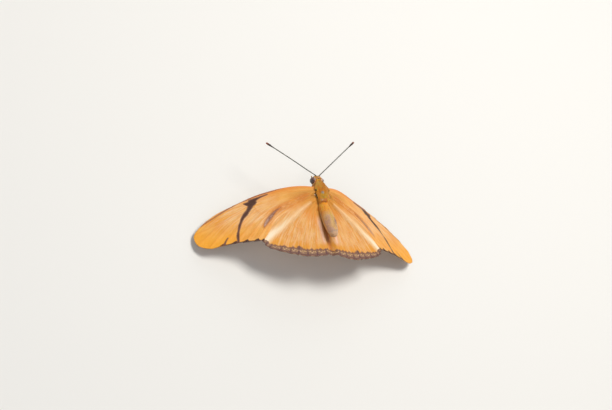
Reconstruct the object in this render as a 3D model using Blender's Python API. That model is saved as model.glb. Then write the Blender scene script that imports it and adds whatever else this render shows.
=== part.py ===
"""A julia butterfly standing with its wings spread: a still model at life size.

Metres, +Z up, the head towards -Y and the feet on z = 0. Every length below is in
millimetres, in the body's own frame: x to the left wing, y to the tail, z up, from the
point on the midline level with the forewing's root. MM turns it into metres.
"""

import math

import bpy
from mathutils import Vector
from mathutils.geometry import delaunay_2d_cdt

MM = 0.001

# How the body stands.
ROOT_HEIGHT = 16.0  # forewing's root over the floor
ORIGIN_BEHIND_ROOT = 2.75  # the object's origin, under the middle of its length
GAP = 0.3  # between one sub-part and the next

# Trunk.
THORAX_FRONT = -2.8
THORAX_LENGTH = 8.0
THORAX_HALF_WIDTH = 2.35
THORAX_TOP = 1.9
THORAX_UNDER = -4.4
HEAD_LENGTH = 2.4
HEAD_HALF_WIDTH = 1.36
ABDOMEN_LENGTH = 12.1
ABDOMEN_HALF_WIDTH = 1.95
ABDOMEN_HALF_HEIGHT = 2.0
ABDOMEN_RISE = 2.3
ABDOMEN_ARCH = 0.35
ABDOMEN_SEGMENTS = 8
SEGMENT_GROOVE = 0.06
EYE_SIZE = (0.75, 1.08, 1.25)
EYE_AT = (1.70, -4.05, -1.2)

# Wings. The forewing hangs from its root, its rear part twisted up and its tip bent down.
WING_THICKNESS = 0.55
DROOP = 0.35
TWIST = 0.206
CAMBER = 0.0105
TIP_DROP = 0.51
WING_AXIS = Vector((0.9366, 0.3506))
TWIST_STARTS_BY = 14.0
HINDWING_ROOT_DROP = 1.5
HINDWING_DROOP = 0.2176
UNDER_FOREWING = 1.2  # between the middle surfaces where one wing lies over the other
FOLD_FROM = 2.1  # the hindwing folds down beside the abdomen, to lie in a trough under it
FOLD_WIDTH = 1.9
FOLD_DROP = 1.8
FOREWING_ROOT = (-0.4, 2.2)
HINDWING_ROOT = (2.5, 4.3)

# Outlines, as landmarks (x, y) in order from the front of the root.
COSTA = ((6.2, -1.5), (10.5, -1.75), (15.0, -1.4), (20.0, -0.3), (26.0, 2.0), (33.5, 5.3), (38.5, 8.9))
APEX = ((41.2, 11.9), (41.7, 14.2), (40.9, 16.3), (38.0, 17.7))
FOREWING_OUTER = ((34.0, 17.3), (29.0, 16.9), (25.0, 17.0))
TORNUS = ((22.5, 17.1),)
FOREWING_HIND = ((20.6, 15.0), (18.1, 11.8), (14.6, 8.5), (9.6, 5.7), (5.4, 3.7))
HINDWING_COSTA = ((6.0, 1.7), (11.0, 4.0), (16.0, 8.0), (20.0, 12.2), (22.3, 15.6))
HINDWING_APEX = ((22.7, 17.4), (21.7, 18.9))
HINDWING_OUTER = ((19.5, 20.1), (16.0, 21.3), (12.0, 22.5), (8.5, 23.1), (5.0, 23.1))
HINDWING_ANAL = ((2.4, 22.7), (0.9, 22.1), (0.45, 20.6))
HINDWING_INNER = ((0.45, 17.0), (0.65, 13.5), (1.15, 10.5), (1.7, 7.6), (2.2, 5.6))
SCALLOP = 0.35

# Veins. A ridge is highest and widest at the wing's root and finest at the margin.
RIDGE_ABOVE = (0.20, 0.10)
RIDGE_BELOW = (0.12, 0.08)
RIDGE_HALF_WIDTH = (0.45, 0.28)
FOREWING_VEINS = {
    "subcosta": ((3.2, -0.1), (9.0, -0.9), (15.0, -0.6), (22.5, 0.7)),
    "radius": ((3.2, 0.4), (10.0, 0.2), (16.0, 1.1), (21.6, 2.9), (27.0, 5.6), (34.0, 10.2), (41.2, 15.8)),
    "radius_1": ((17.5, 1.5), (22.0, 1.6), (27.5, 2.6)),
    "radius_2": ((21.6, 2.9), (27.0, 3.6), (33.0, 5.1)),
    "radius_3": ((27.0, 5.6), (33.0, 7.2), (38.0, 8.5)),
    "radius_4": ((31.0, 8.1), (36.0, 10.0), (41.2, 11.9)),
    "media_1": ((21.6, 2.9), (27.0, 7.4), (33.0, 12.2), (38.6, 17.5)),
    "cell_end": ((21.6, 2.9), (21.6, 5.0), (20.2, 7.2)),
    "media_2": ((21.6, 5.0), (26.0, 9.2), (30.5, 13.4), (34.8, 17.4)),
    "cubitus": ((3.2, 0.9), (9.0, 2.9), (14.0, 4.5), (20.2, 7.2), (25.5, 11.6), (31.3, 17.1)),
    "cubitus_1": ((17.4, 5.9), (22.5, 11.2), (27.8, 16.9)),
    "cubitus_2": ((14.0, 4.5), (19.4, 10.8), (24.6, 17.0)),
    "anal": ((3.2, 1.7), (8.0, 4.0), (13.0, 6.5), (17.2, 9.7), (20.1, 13.2), (22.3, 16.9)),
}
HINDWING_VEINS = {
    "subcosta": ((3.2, 3.0), (7.0, 4.2), (12.0, 7.2), (18.0, 12.4), (22.6, 17.0)),
    "radius": ((3.2, 3.4), (7.8, 6.8), (12.0, 10.6), (16.6, 15.0), (20.8, 19.4)),
    "radius_s": ((7.8, 6.8), (14.0, 11.2), (22.0, 18.5)),
    "cell_end": ((12.0, 10.6), (10.6, 12.6), (8.6, 13.4)),
    "media_2": ((10.9, 12.3), (14.4, 16.6), (17.8, 20.7)),
    "media_3": ((9.7, 13.2), (12.3, 17.5), (14.8, 21.7)),
    "cubitus": ((3.0, 3.9), (5.2, 8.0), (7.0, 11.2), (8.6, 13.4), (10.5, 17.8), (12.0, 22.5)),
    "cubitus_2": ((7.0, 11.2), (8.2, 17.0), (8.9, 23.1)),
    "anal_2": ((3.0, 4.1), (3.9, 10.0), (4.9, 16.5), (5.8, 23.2)),
    "anal_3": ((3.9, 10.0), (3.1, 16.0), (2.5, 22.7)),
}

# Limbs: each length with the pitch of its segment, in degrees, below the level.
MIDLEG_AT = (1.2, 0.6)
HINDLEG_AT = (1.1, 3.0)
FORELEG_AT = (0.95, -1.5)
MIDLEG_TURN = -22.0
HINDLEG_TURN = 62.0
COXA = (2.0, 80.0)
FEMUR_LENGTH = 5.2
TIBIA = (5.6, 79.0)
TARSUS_SLOPE = (2.3, 46.0)
TARSUS_FLAT = 2.4
COXA_RADIUS = 0.62
FEMUR_RADIUS = 0.45
TIBIA_RADIUS = 0.30
SOLE_HALF_WIDTH = 0.34
SOLE_RISE = 0.19  # tarsus axis over the floor
ANTENNA_AT = (0.7, -4.8)
ANTENNA_TIPS = {1: (16.7, -15.5, -0.4), -1: (15.4, -17.4, 2.6)}
ANTENNA_BOW = 0.1
ANTENNA_RADIUS = 0.26
CLUB_RADIUS = 0.52
CLUB_LENGTH = 3.0
PALP_REACH = 0.75
PALP_RADIUS = 0.30
COIL_RADIUS = 0.68
COIL_TURNS = 1.0
COIL_PITCH = 0.48
COIL_TUBE = 0.20

COLOURS = {
    "thorax": (0.62, 0.30, 0.06, 0.75),
    "head": (0.50, 0.25, 0.08, 0.75),
    "eye": (0.05, 0.02, 0.012, 0.2),
    "abdomen": (0.48, 0.33, 0.20, 0.7),
    "antenna": (0.035, 0.032, 0.022, 0.5),
    "palp": (0.60, 0.40, 0.20, 0.7),
    "proboscis": (0.10, 0.045, 0.02, 0.4),
    "wing": (0.80, 0.33, 0.05, 0.5),
    "leg": (0.42, 0.24, 0.10, 0.55),
}


def blend(pair, t):
    """The value a share t of the way from the pair's first to its second."""
    return pair[0] + (pair[1] - pair[0]) * t


def smooth(t):
    t = min(1.0, max(0.0, t))
    return t * t * (3 - 2 * t)


def bulge(t, front, middle, rear, peak):
    """A rounded profile: front at t = 0, middle at t = peak, rear at t = 1."""
    end = front if t < peak else rear
    away = (peak - t) / peak if t < peak else (t - peak) / (1 - peak)
    return end + (middle - end) * math.sqrt(max(0.0, 1 - away**2.2))


def polygon_frame(tangent, up):
    side = tangent.cross(up).normalized()
    return side, side.cross(tangent).normalized()


class Trunk:
    """A rounded length of body along y, from its front to its rear station."""

    def __init__(self, front, length, half_width, centre, half_height, power=2.2):
        self.front = front
        self.length = length
        self.half_width = half_width
        self.centre = centre
        self.half_height = half_height
        self.power = power

    def at(self, y):
        t = (y - self.front) / self.length
        return self.half_width(t), self.centre(t), self.half_height(t)

    def side(self, y, z):
        """Half the width at height z."""
        width, centre, height = self.at(y)
        inside = 1 - min(1.0, abs(z - centre) / height) ** self.power
        return width * inside ** (1 / self.power)

    def edge(self, x, y, sign):
        """The height of the back (sign 1) or of the underside (sign -1) at x."""
        width, centre, height = self.at(y)
        inside = 1 - min(1.0, abs(x) / width) ** self.power
        return centre + sign * height * inside ** (1 / self.power)

    def ring(self, t, sides):
        y = self.front + t * self.length
        width, centre, height = self.at(y)
        points = []
        for i in range(sides):
            angle = 2 * math.pi * (i + 0.5) / sides
            c = math.cos(angle)
            s = math.sin(angle)
            x = math.copysign(abs(c) ** (2 / self.power), c) * width
            z = math.copysign(abs(s) ** (2 / self.power), s) * height
            points.append(Vector((x, y, centre + z)))
        return points


THORAX = Trunk(
    THORAX_FRONT,
    THORAX_LENGTH,
    lambda t: bulge(t, 1.0, THORAX_HALF_WIDTH, 1.35, 0.45),
    lambda t: (bulge(t, -0.2, THORAX_TOP, 0.1, 0.5) + bulge(t, -2.3, THORAX_UNDER, -2.5, 0.45)) / 2,
    lambda t: (bulge(t, -0.2, THORAX_TOP, 0.1, 0.5) - bulge(t, -2.3, THORAX_UNDER, -2.5, 0.45)) / 2,
)
HEAD = Trunk(
    THORAX_FRONT - GAP - HEAD_LENGTH,
    HEAD_LENGTH,
    lambda t: bulge(t, 0.55, HEAD_HALF_WIDTH, 0.9, 0.5),
    lambda t: bulge(t, -1.5, -1.25, -1.25, 0.5),
    lambda t: bulge(t, 0.6, 1.55, 1.0, 0.5),
    3.0,
)


def abdomen_rings(t):
    """1 in the groove between two segments and 0 over the rest of each."""
    place = (t * ABDOMEN_SEGMENTS) % 1.0
    return max(0.0, 1 - min(place, 1 - place) / 0.14)


ABDOMEN = Trunk(
    THORAX_FRONT + THORAX_LENGTH + GAP,
    ABDOMEN_LENGTH,
    lambda t: bulge(t, 1.15, ABDOMEN_HALF_WIDTH, 0.7, 0.68) * (1 - SEGMENT_GROOVE * abdomen_rings(t)),
    lambda t: -1.1 + ABDOMEN_RISE * t + ABDOMEN_ARCH * math.sin(math.pi * t),
    lambda t: bulge(t, 1.25, ABDOMEN_HALF_HEIGHT, 0.75, 0.6) * (1 - SEGMENT_GROOVE * abdomen_rings(t)),
)


def forewing_height(x, y):
    """The forewing's middle surface, over its root."""
    out = x - 2.6
    along = out * WING_AXIS.x + y * WING_AXIS.y
    ahead = out * WING_AXIS.y - y * WING_AXIS.x
    twisted = smooth(along / TWIST_STARTS_BY)
    tip = TIP_DROP * min(1.1, max(0.0, along / 40)) ** 3
    return -DROOP * out - (TWIST * ahead + CAMBER * max(0.0, ahead) ** 2) * twisted - tip


def hindwing_height(x, y):
    """The hindwing's middle surface: a plain slope that gives way under the forewing."""
    plain = -HINDWING_ROOT_DROP - HINDWING_DROOP * (x - 2.7)
    under = forewing_height(x, y) - UNDER_FOREWING
    share = min(1.0, max(0.0, 0.5 + (under - plain) / 1.2))
    fold = FOLD_DROP * smooth((FOLD_FROM - x) / FOLD_WIDTH)
    return under + (plain - under) * share - 0.6 * share * (1 - share) - fold


def wing_normal(height, x, y):
    slope = (height(x + 0.05, y) - height(x - 0.05, y)) * 10
    rise = (height(x, y + 0.05) - height(x, y - 0.05)) * 10
    return Vector((-slope, -rise, 1)).normalized()


def curve(points, step):
    """A smooth line through the points, sampled about every step."""
    points = [Vector(p) for p in points]
    points = [2 * points[0] - points[1], *points, 2 * points[-1] - points[-2]]
    line = []
    for a, b, c, d in zip(points, points[1:], points[2:], points[3:]):
        count = max(1, round((c - b).length / step))
        for i in range(count):
            t = i / count
            first = (c - a) * (0.5 * t)
            second = (2 * a - 5 * b + 4 * c - d) * (0.5 * t * t)
            third = (3 * b - a - 3 * c + d) * (0.5 * t * t * t)
            line.append(b + first + second + third)
    return [*line, points[-2]]


def root_line(span, height, step):
    """The wing's root from its rear to its front, GAP out from the side of the thorax."""
    count = max(2, round((span[1] - span[0]) / step))
    line = []
    for i in range(count + 1):
        y = span[1] + (span[0] - span[1]) * i / count
        x = THORAX_HALF_WIDTH
        for _ in range(4):
            middle = height(x, y)
            reach = [THORAX.side(y, middle + k * WING_THICKNESS / 4) for k in (-3, -2, -1, 0, 1, 2, 3)]
            x = max(reach) + GAP + 0.1
        line.append(Vector((x, y)))
    return line


def scalloped(line, ends):
    """The line drawn in between each two of the vein ends, so that a tooth stands at each."""
    centre = sum(line, Vector((0, 0))) / len(line)
    stations = sorted(min(range(len(line)), key=lambda i: (line[i] - Vector(end)).length) for end in ends)
    shaped = list(line)
    for first, last in zip(stations, stations[1:]):
        for i in range(first + 1, last):
            share = math.sin(math.pi * (i - first) / (last - first))
            shaped[i] = line[i] + (centre - line[i]).normalized() * SCALLOP * share**0.7
    return shaped


def line_distance(point, line):
    """Distance from the point to the line, and how far along the line, as a share."""
    best = (1e9, 0.0)
    for i, (a, b) in enumerate(zip(line, line[1:])):
        ab = b - a
        t = min(1.0, max(0.0, (point - a).dot(ab) / max(1e-9, ab.length_squared)))
        best = min(best, ((point - a - ab * t).length, (i + t) / (len(line) - 1)))
    return best


def inside(point, outline):
    crossings = 0
    for a, b in zip(outline, [*outline[1:], outline[0]]):
        if (a.y > point.y) != (b.y > point.y):
            crossings += point.x < a.x + (b.x - a.x) * (point.y - a.y) / (b.y - a.y)
    return crossings % 2 == 1


def ridge(point, veins):
    """How much of a ridge there is at the point, 0 to 1, and how far out along its vein."""
    best = (0.0, 0.0)
    for line, start, end in veins:
        away, share = line_distance(point, line)
        out = start + (end - start) * share
        width = blend(RIDGE_HALF_WIDTH, out)
        best = max(best, (1 - away / width, out))
    return best


def wing_mesh(outline, vein_landmarks, height, step):
    """Both faces of a wing over one triangulation, and the edge that joins them."""
    reach = max(p.length for p in outline)
    veins = []
    for landmarks in vein_landmarks.values():
        line = curve(landmarks, step)
        line[-1] = min(outline, key=lambda p: (p - line[-1]).length).copy()
        if inside(Vector(landmarks[-1]) * 0.97, outline) and line_distance(Vector(landmarks[-1]), outline)[0] > 1:
            line[-1] = Vector(landmarks[-1])
        veins.append((line, line[0].length / reach, line[-1].length / reach))

    points = list(outline)
    edges = []
    known = {}

    def add(p):
        key = (round(p.x, 2), round(p.y, 2))
        if key not in known:
            known[key] = len(points)
            points.append(p)
        return known[key]

    for i, p in enumerate(outline):
        known[(round(p.x, 2), round(p.y, 2))] = i
    closed = [*outline, outline[0]]
    for line, start, end in veins:
        indices = [add(p) for p in line]
        edges += [(a, b) for a, b in zip(indices, indices[1:]) if a != b]
        for sign in (-1, 1):
            before = None
            for i, p in enumerate(line):
                ahead = line[min(i + 1, len(line) - 1)] - line[max(i - 1, 0)]
                across = Vector((-ahead.y, ahead.x)).normalized() * sign
                width = blend(RIDGE_HALF_WIDTH, start + (end - start) * i / (len(line) - 1))
                q = p + across * width
                others = (line_distance(q, other)[0] for other, _, _ in veins if other is not line)
                clear = all(away > width * 1.05 for away in others)
                if not clear or not inside(q, outline) or line_distance(q, closed)[0] < 0.3:
                    before = None
                    continue
                index = add(q)
                if before is not None:
                    edges.append((before, index))
                before = index
    rows = int(30 / (step * 1.3))
    for row in range(-rows // 8, rows):
        for column in range(rows * 2):
            p = Vector((column + 0.5 * (row % 2), row * 0.866)) * step * 1.5
            if not inside(p, outline) or line_distance(p, closed)[0] < step * 0.6:
                continue
            if all(line_distance(p, line)[0] > step * 0.55 for line, _, _ in veins):
                add(p)

    flat, _, triangles, _, _, _ = delaunay_2d_cdt(points, edges, [list(range(len(outline)))], 1, 1e-4)
    above = []
    below = []
    for p in flat:
        share, out = ridge(p, veins)
        share = max(0.0, share)
        middle = Vector((p.x, p.y, height(p.x, p.y)))
        normal = wing_normal(height, p.x, p.y)
        half = WING_THICKNESS / 2
        above.append(middle + normal * (half + share * blend(RIDGE_ABOVE, out)))
        below.append(middle - normal * (half + share * blend(RIDGE_BELOW, out)))
    count = len(flat)
    faces = [tuple(t) for t in triangles]
    faces += [tuple(i + count for i in reversed(t)) for t in triangles]
    used = {(t[i], t[(i + 1) % 3]) for t in triangles for i in range(3)}
    for a, b in used:
        if (b, a) not in used:
            faces.append((b, a, a + count))
            faces.append((b, a + count, b + count))
    return above + below, sorted(faces)


def tube_mesh(rings):
    """A closed skin over a row of rings, with a flat cap at each end."""
    sides = len(rings[0])
    verts = [p for points in rings for p in points]
    faces = [tuple(range(sides)), tuple(range(len(verts) - 1, len(verts) - sides - 1, -1))]
    for r in range(len(rings) - 1):
        for i in range(sides):
            j = (i + 1) % sides
            a = r * sides
            faces.append((a + i, a + sides + i, a + sides + j, a + j))
    return verts, faces


def sweep(path, radii, up, sides, floor=None):
    """A tube along the path. Each radius is (across, along up); floor flattens what passes below it."""
    rings = []
    for i, p in enumerate(path):
        tangent = (path[min(i + 1, len(path) - 1)] - path[max(i - 1, 0)]).normalized()
        side, over = polygon_frame(tangent, up)
        points = []
        for k in range(sides):
            angle = 2 * math.pi * (k + 0.5) / sides
            q = p + side * math.cos(angle) * radii[i][0] + over * math.sin(angle) * radii[i][1]
            if floor is not None:
                q.z = max(q.z, floor)
            points.append(q)
        rings.append(points)
    return tube_mesh(rings)


def material(kind):
    red, green, blue, rough = COLOURS[kind]
    made = bpy.data.materials.new(kind)
    made.use_nodes = True
    shader = made.node_tree.nodes["Principled BSDF"]
    shader.inputs["Base Color"].default_value = (red, green, blue, 1)
    shader.inputs["Roughness"].default_value = rough
    shader.inputs["Metallic"].default_value = 0
    return made


def node(name, kind, mesh_parts, root, side=1):
    """An object whose own origin is the root that it grows from, mirrored where side is -1."""
    verts, faces = mesh_parts
    root = Vector(root)
    local = [(v - root) * MM for v in verts]
    if side < 0:
        local = [Vector((-v.x, v.y, v.z)) for v in local]
        root.x = -root.x
    volume = 0.0
    for face in faces:
        for b, c in zip(face[1:], face[2:]):
            volume += local[face[0]].dot(local[b].cross(local[c]))
    if volume < 0:
        faces = [tuple(reversed(face)) for face in faces]
    mesh = bpy.data.meshes.new(name)
    mesh.from_pydata(local, [], faces)
    mesh.validate()
    mesh.materials.append(material(kind))
    mesh.shade_smooth()
    obj = bpy.data.objects.new(name, mesh)
    obj.location = (root + Vector((0, -ORIGIN_BEHIND_ROOT, ROOT_HEIGHT))) * MM
    bpy.context.collection.objects.link(obj)
    return obj


def trunk_node(name, trunk, stations, sides):
    rings = [trunk.ring(t, sides) for t in stations]
    node(name, name, tube_mesh(rings), (0, trunk.front, trunk.centre(0)))


def build_trunk():
    even = [0.5 - 0.5 * math.cos(math.pi * i / 13) for i in range(14)]
    trunk_node("thorax", THORAX, even, 24)
    trunk_node("head", HEAD, [0.5 - 0.5 * math.cos(math.pi * i / 9) for i in range(10)], 20)
    stations = [0.0]
    for segment in range(ABDOMEN_SEGMENTS):
        stations += [(segment + place) / ABDOMEN_SEGMENTS for place in (0.16, 0.5, 0.84, 1.0)]
    trunk_node("abdomen", ABDOMEN, [t * 0.999 for t in stations], 20)


def build_eyes():
    """Each compound eye is a dome whose flat face looks at the side of the head."""
    reach, along, tall = EYE_SIZE
    rings = []
    for i in range(8):
        angle = math.pi / 2 * i / 7.6
        x = EYE_AT[0] + reach * math.sin(angle)
        scale = math.cos(angle) ** 0.8
        points = []
        for k in range(20):
            turn = 2 * math.pi * k / 20
            y = EYE_AT[1] + along * scale * math.cos(turn)
            points.append(Vector((x, y, EYE_AT[2] + tall * scale * math.sin(turn))))
        rings.append(points)
    for side, word in ((1, "left"), (-1, "right")):
        node(f"eye_{word}", "eye", tube_mesh(rings), EYE_AT, side)


def build_wings():
    fore = [*root_line(FOREWING_ROOT, forewing_height, 0.9)]
    start = fore.pop()
    line = curve((start, *COSTA, *APEX, *FOREWING_OUTER, *TORNUS, *FOREWING_HIND, fore[0]), 1.3)
    fore_outline = line[:-1] + fore
    hind = root_line(HINDWING_ROOT, hindwing_height, 0.9)
    start = hind.pop()
    line = curve(
        (start, *HINDWING_COSTA, *HINDWING_APEX, *HINDWING_OUTER, *HINDWING_ANAL, *HINDWING_INNER, hind[0]),
        0.75,
    )
    ends = [landmarks[-1] for landmarks in HINDWING_VEINS.values() if landmarks[-1][1] > 16]
    hind_outline = scalloped(line[:-1], ends) + hind
    fore_parts = wing_mesh(fore_outline, FOREWING_VEINS, forewing_height, 1.9)
    hind_parts = wing_mesh(hind_outline, HINDWING_VEINS, hindwing_height, 1.7)
    for side, word in ((1, "left"), (-1, "right")):
        root = (fore[0].x, 0.5, 0.0)
        node(f"forewing_{word}", "wing", fore_parts, root, side)
        root = (hind[0].x, 3.2, -HINDWING_ROOT_DROP)
        node(f"hindwing_{word}", "wing", hind_parts, root, side)


def leg_mesh(x, y, turn):
    """Coxa, femur, tibia and tarsus in one upright plane, the tarsus flat along the floor."""
    start = Vector((x, y, THORAX.edge(x, y, -1) - GAP - 0.12))
    away = Vector((math.cos(math.radians(turn)), math.sin(math.radians(turn)), 0))
    floor = -ROOT_HEIGHT
    path = [start]
    radii = [(COXA_RADIUS, COXA_RADIUS)]

    def step(length, pitch, sizes):
        begin = path[-1]
        ahead = away * math.cos(math.radians(pitch)) - Vector((0, 0, math.sin(math.radians(pitch))))
        for share, size in sizes:
            path.append(begin + ahead * length * share)
            radii.append((size, size))

    # The femur takes up the height that the other segments leave.
    drop = start.z - floor - SOLE_RISE
    drop -= sum(length * math.sin(math.radians(pitch)) for length, pitch in (COXA, TIBIA, TARSUS_SLOPE))
    pitch = math.degrees(math.asin(drop / FEMUR_LENGTH))
    step(*COXA, ((0.55, COXA_RADIUS), (0.9, 0.42), (1.0, 0.40)))
    step(FEMUR_LENGTH, pitch, ((0.08, 0.38), (0.4, FEMUR_RADIUS), (0.85, 0.33), (1.0, 0.30)))
    step(*TIBIA, ((0.06, 0.30), (0.5, TIBIA_RADIUS), (1.0, 0.27)))
    step(*TARSUS_SLOPE, ((0.12, 0.26), (0.85, 0.27), (1.0, 0.28)))
    ball = path[-1] + away * 0.3
    for share in (0.0, 0.33, 0.67, 1.0):
        path.append(ball + away * TARSUS_FLAT * share)
        radii.append((SOLE_HALF_WIDTH, 0.29))
    return sweep(path, radii, Vector((0, 0, 1)), 12, floor), path[0]


def build_legs():
    for side, word in ((1, "left"), (-1, "right")):
        parts, root = leg_mesh(*MIDLEG_AT, MIDLEG_TURN)
        node(f"midleg_{word}", "leg", parts, root, side)
        parts, root = leg_mesh(*HINDLEG_AT, HINDLEG_TURN)
        node(f"hindleg_{word}", "leg", parts, root, side)
        # The foreleg is a short brush, folded forward under the thorax and never stood on.
        x, y = FORELEG_AT
        root = Vector((x, y, THORAX.edge(x, y, -1) - GAP - 0.15))
        bends = ((0, 0, 0), (0.05, -0.1, -0.6), (0.1, -0.6, -1.0), (0.1, -1.3, -1.0), (0.05, -1.9, -0.6))
        path = curve([root + Vector(bend) for bend in bends], 0.45)
        radii = [blend((0.46, 0.27), i / (len(path) - 1)) for i in range(len(path))]
        parts = sweep(path, [(r, r) for r in radii], Vector((1, 0, 0)), 10)
        node(f"foreleg_{word}", "leg", parts, root, side)


def build_head_parts():
    for side, word in ((1, "left"), (-1, "right")):
        x, y = ANTENNA_AT
        root = Vector((x, y, HEAD.edge(x, y, 1) + GAP + 0.12))
        tip = Vector(ANTENNA_TIPS[side])
        middle = (root + tip) / 2 + Vector((0, 0, ANTENNA_BOW))
        first = root + Vector((0.12, -0.12, 0.5))
        path = curve((root, first, middle, tip), 0.9)
        total = sum((b - a).length for a, b in zip(path, path[1:]))
        done = 0.0
        radii = []
        for i, p in enumerate(path):
            done += (p - path[max(0, i - 1)]).length
            club = smooth((done - total + CLUB_LENGTH) / (CLUB_LENGTH * 0.65))
            close = smooth((done - total + CLUB_LENGTH * 0.22) / (CLUB_LENGTH * 0.22))
            radii.append(ANTENNA_RADIUS + (CLUB_RADIUS - ANTENNA_RADIUS) * club * (1 - 0.75 * close))
        radii[0] = 0.36
        parts = sweep(path, [(r, r) for r in radii], Vector((0.3, 0.3, 1)), 10)
        node(f"antenna_{word}", "antenna", parts, root, side)

        root = Vector((0.6, HEAD.front - GAP + 0.05, -2.3))
        path = curve([root + Vector(p) * PALP_REACH for p in ((0, 0, 0), (0.04, -0.42, -0.2), (0.0, -0.85, 0.0))], 0.25)
        radii = [PALP_RADIUS * (0.75 + 0.35 * math.sin(2.4 * i / (len(path) - 1))) for i in range(len(path))]
        parts = sweep(path, [(r, r) for r in radii], Vector((1, 0, 0)), 10)
        node(f"palp_{word}", "palp", parts, root, side)

    # The tongue is carried rolled up under the face, between the palps.
    centre = Vector((0, HEAD.front + 0.9, HEAD.edge(0, HEAD.front + 0.9, -1) - GAP - COIL_RADIUS - COIL_TUBE))
    path = []
    count = 30
    for i in range(count + 1):
        turns = COIL_TURNS * i / count
        radius = COIL_RADIUS - COIL_PITCH * turns
        angle = math.radians(70) + 2 * math.pi * turns
        path.append(centre + Vector((0, -math.cos(angle), math.sin(angle))) * radius)
    radii = [(COIL_TUBE, COIL_TUBE)] * len(path)
    node("proboscis", "proboscis", sweep(path, radii, Vector((1, 0, 0)), 10), path[0])


for stale in list(bpy.data.objects):
    bpy.data.objects.remove(stale)
build_trunk()
build_eyes()
build_wings()
build_legs()
build_head_parts()
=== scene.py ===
# %% [markdown]
# # A julia butterfly, life size
#
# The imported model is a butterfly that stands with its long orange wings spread: plain solids at their
# real size and place. This lesson gives each of them its looks. Shapes are counted in millimetres in
# the butterfly's own directions: x to its left wing, y to its tail and z up, from the point between
# the roots of its forewings.

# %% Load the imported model
import math

import bpy
import numpy as np
from mathutils import Matrix, Vector


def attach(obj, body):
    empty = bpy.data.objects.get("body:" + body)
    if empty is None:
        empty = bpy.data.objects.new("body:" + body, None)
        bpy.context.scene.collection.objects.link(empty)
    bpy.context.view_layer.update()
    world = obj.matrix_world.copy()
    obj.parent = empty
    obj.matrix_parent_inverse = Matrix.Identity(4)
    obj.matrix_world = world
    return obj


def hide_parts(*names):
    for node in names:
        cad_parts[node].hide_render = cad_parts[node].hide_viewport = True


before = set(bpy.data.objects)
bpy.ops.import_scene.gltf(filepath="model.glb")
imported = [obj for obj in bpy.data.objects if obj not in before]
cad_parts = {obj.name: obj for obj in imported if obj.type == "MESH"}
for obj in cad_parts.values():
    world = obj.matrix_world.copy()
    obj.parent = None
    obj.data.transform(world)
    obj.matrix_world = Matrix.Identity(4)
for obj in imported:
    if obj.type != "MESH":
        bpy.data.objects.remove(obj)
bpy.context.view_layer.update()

# %% [markdown]
# ## Place, and a few habits
#
# One function takes a point of the butterfly to its place in the frame. The others keep every step
# with Blender's operators alike: nothing stays selected from before, a new primitive gets its name at
# once, and a modifier is applied as soon as it is set.

# %% Helpers for places and operators
MM = 0.001
ROOT_HEIGHT = 16.0
ORIGIN_BEHIND_ROOT = 2.75
randomly = np.random.default_rng(7)


def placed(points):
    return (np.asarray(points, float) + (0, -ORIGIN_BEHIND_ROOT, ROOT_HEIGHT)) * MM


def deselect():
    if bpy.context.mode != "OBJECT":
        bpy.ops.object.mode_set(mode="OBJECT")
    bpy.ops.object.select_all(action="DESELECT")


def named(name):
    piece = bpy.context.active_object
    piece.name = name
    piece.data.name = name
    return piece


def points_of(piece):
    flat = np.empty(len(piece.data.vertices) * 3)
    piece.data.vertices.foreach_get("co", flat)
    return flat.reshape(-1, 3)


def unit(vectors):
    return vectors / np.linalg.norm(vectors, axis=1)[:, None]


def gone_along(line):
    """How far along the line each of its points lies."""
    return np.concatenate([[0], np.cumsum(np.linalg.norm(np.diff(line, axis=0), axis=1))])


def move_points(piece, points):
    piece.data.vertices.foreach_set("co", np.asarray(points, np.float32).ravel())
    piece.data.update()


def apply_modifier(piece, kind, **settings):
    bpy.context.view_layer.objects.active = piece
    modifier = piece.modifiers.new(kind.title(), kind)
    for key, value in settings.items():
        setattr(modifier, key, value)
    bpy.ops.object.modifier_apply(modifier=modifier.name)


def pick(piece, kind, test):
    """Goes into edit mode with what passes the test selected: kind is VERT, EDGE or FACE."""
    bpy.context.view_layer.objects.active = piece
    bpy.ops.object.mode_set(mode="EDIT")
    bpy.ops.mesh.select_mode(type=kind)
    bpy.ops.mesh.select_all(action="DESELECT")
    bpy.ops.object.mode_set(mode="OBJECT")
    parts = {"VERT": piece.data.vertices, "EDGE": piece.data.edges, "FACE": piece.data.polygons}[kind]
    for part in parts:
        part.select = test(part)
    bpy.ops.object.mode_set(mode="EDIT")


def face_outward(piece):
    pick(piece, "FACE", lambda face: True)
    bpy.ops.mesh.normals_make_consistent(inside=False)
    bpy.ops.object.mode_set(mode="OBJECT")


def finished(piece, finish, slot, *nodes, smooth=True):
    """Gives a piece its material and its place in the butterfly."""
    deselect()
    piece.data.materials.clear()
    piece.data.materials.append(finish)
    if smooth:
        piece.data.shade_smooth()
    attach(piece, "root")
    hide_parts(*nodes)
    print(piece.name, len(piece.data.polygons), "faces")
    return piece


# %% [markdown]
# ## Camera
#
# The photograph looks down on the butterfly from behind its left wing. A long lens from far away
# keeps the wings' proportions, as a macro lens does. The directions say where the camera stands and
# which way is right in the picture, and a small shift puts the wing roots on their own pixel.

# %% The camera behind the left wing
PHOTO_SIZE = (612, 410)
ROOTS_AT_PIXEL = (321.2, 189.6)
PIXELS_PER_MM = 3.141
CAMERA_AWAY = 600.0
SENSOR_WIDTH = 36
TO_CAMERA = Vector((0.5553, 0.4378, 0.7071)).normalized()
PICTURE_RIGHT = Vector((-0.8278, 0.2091, 0.5206))

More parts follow.
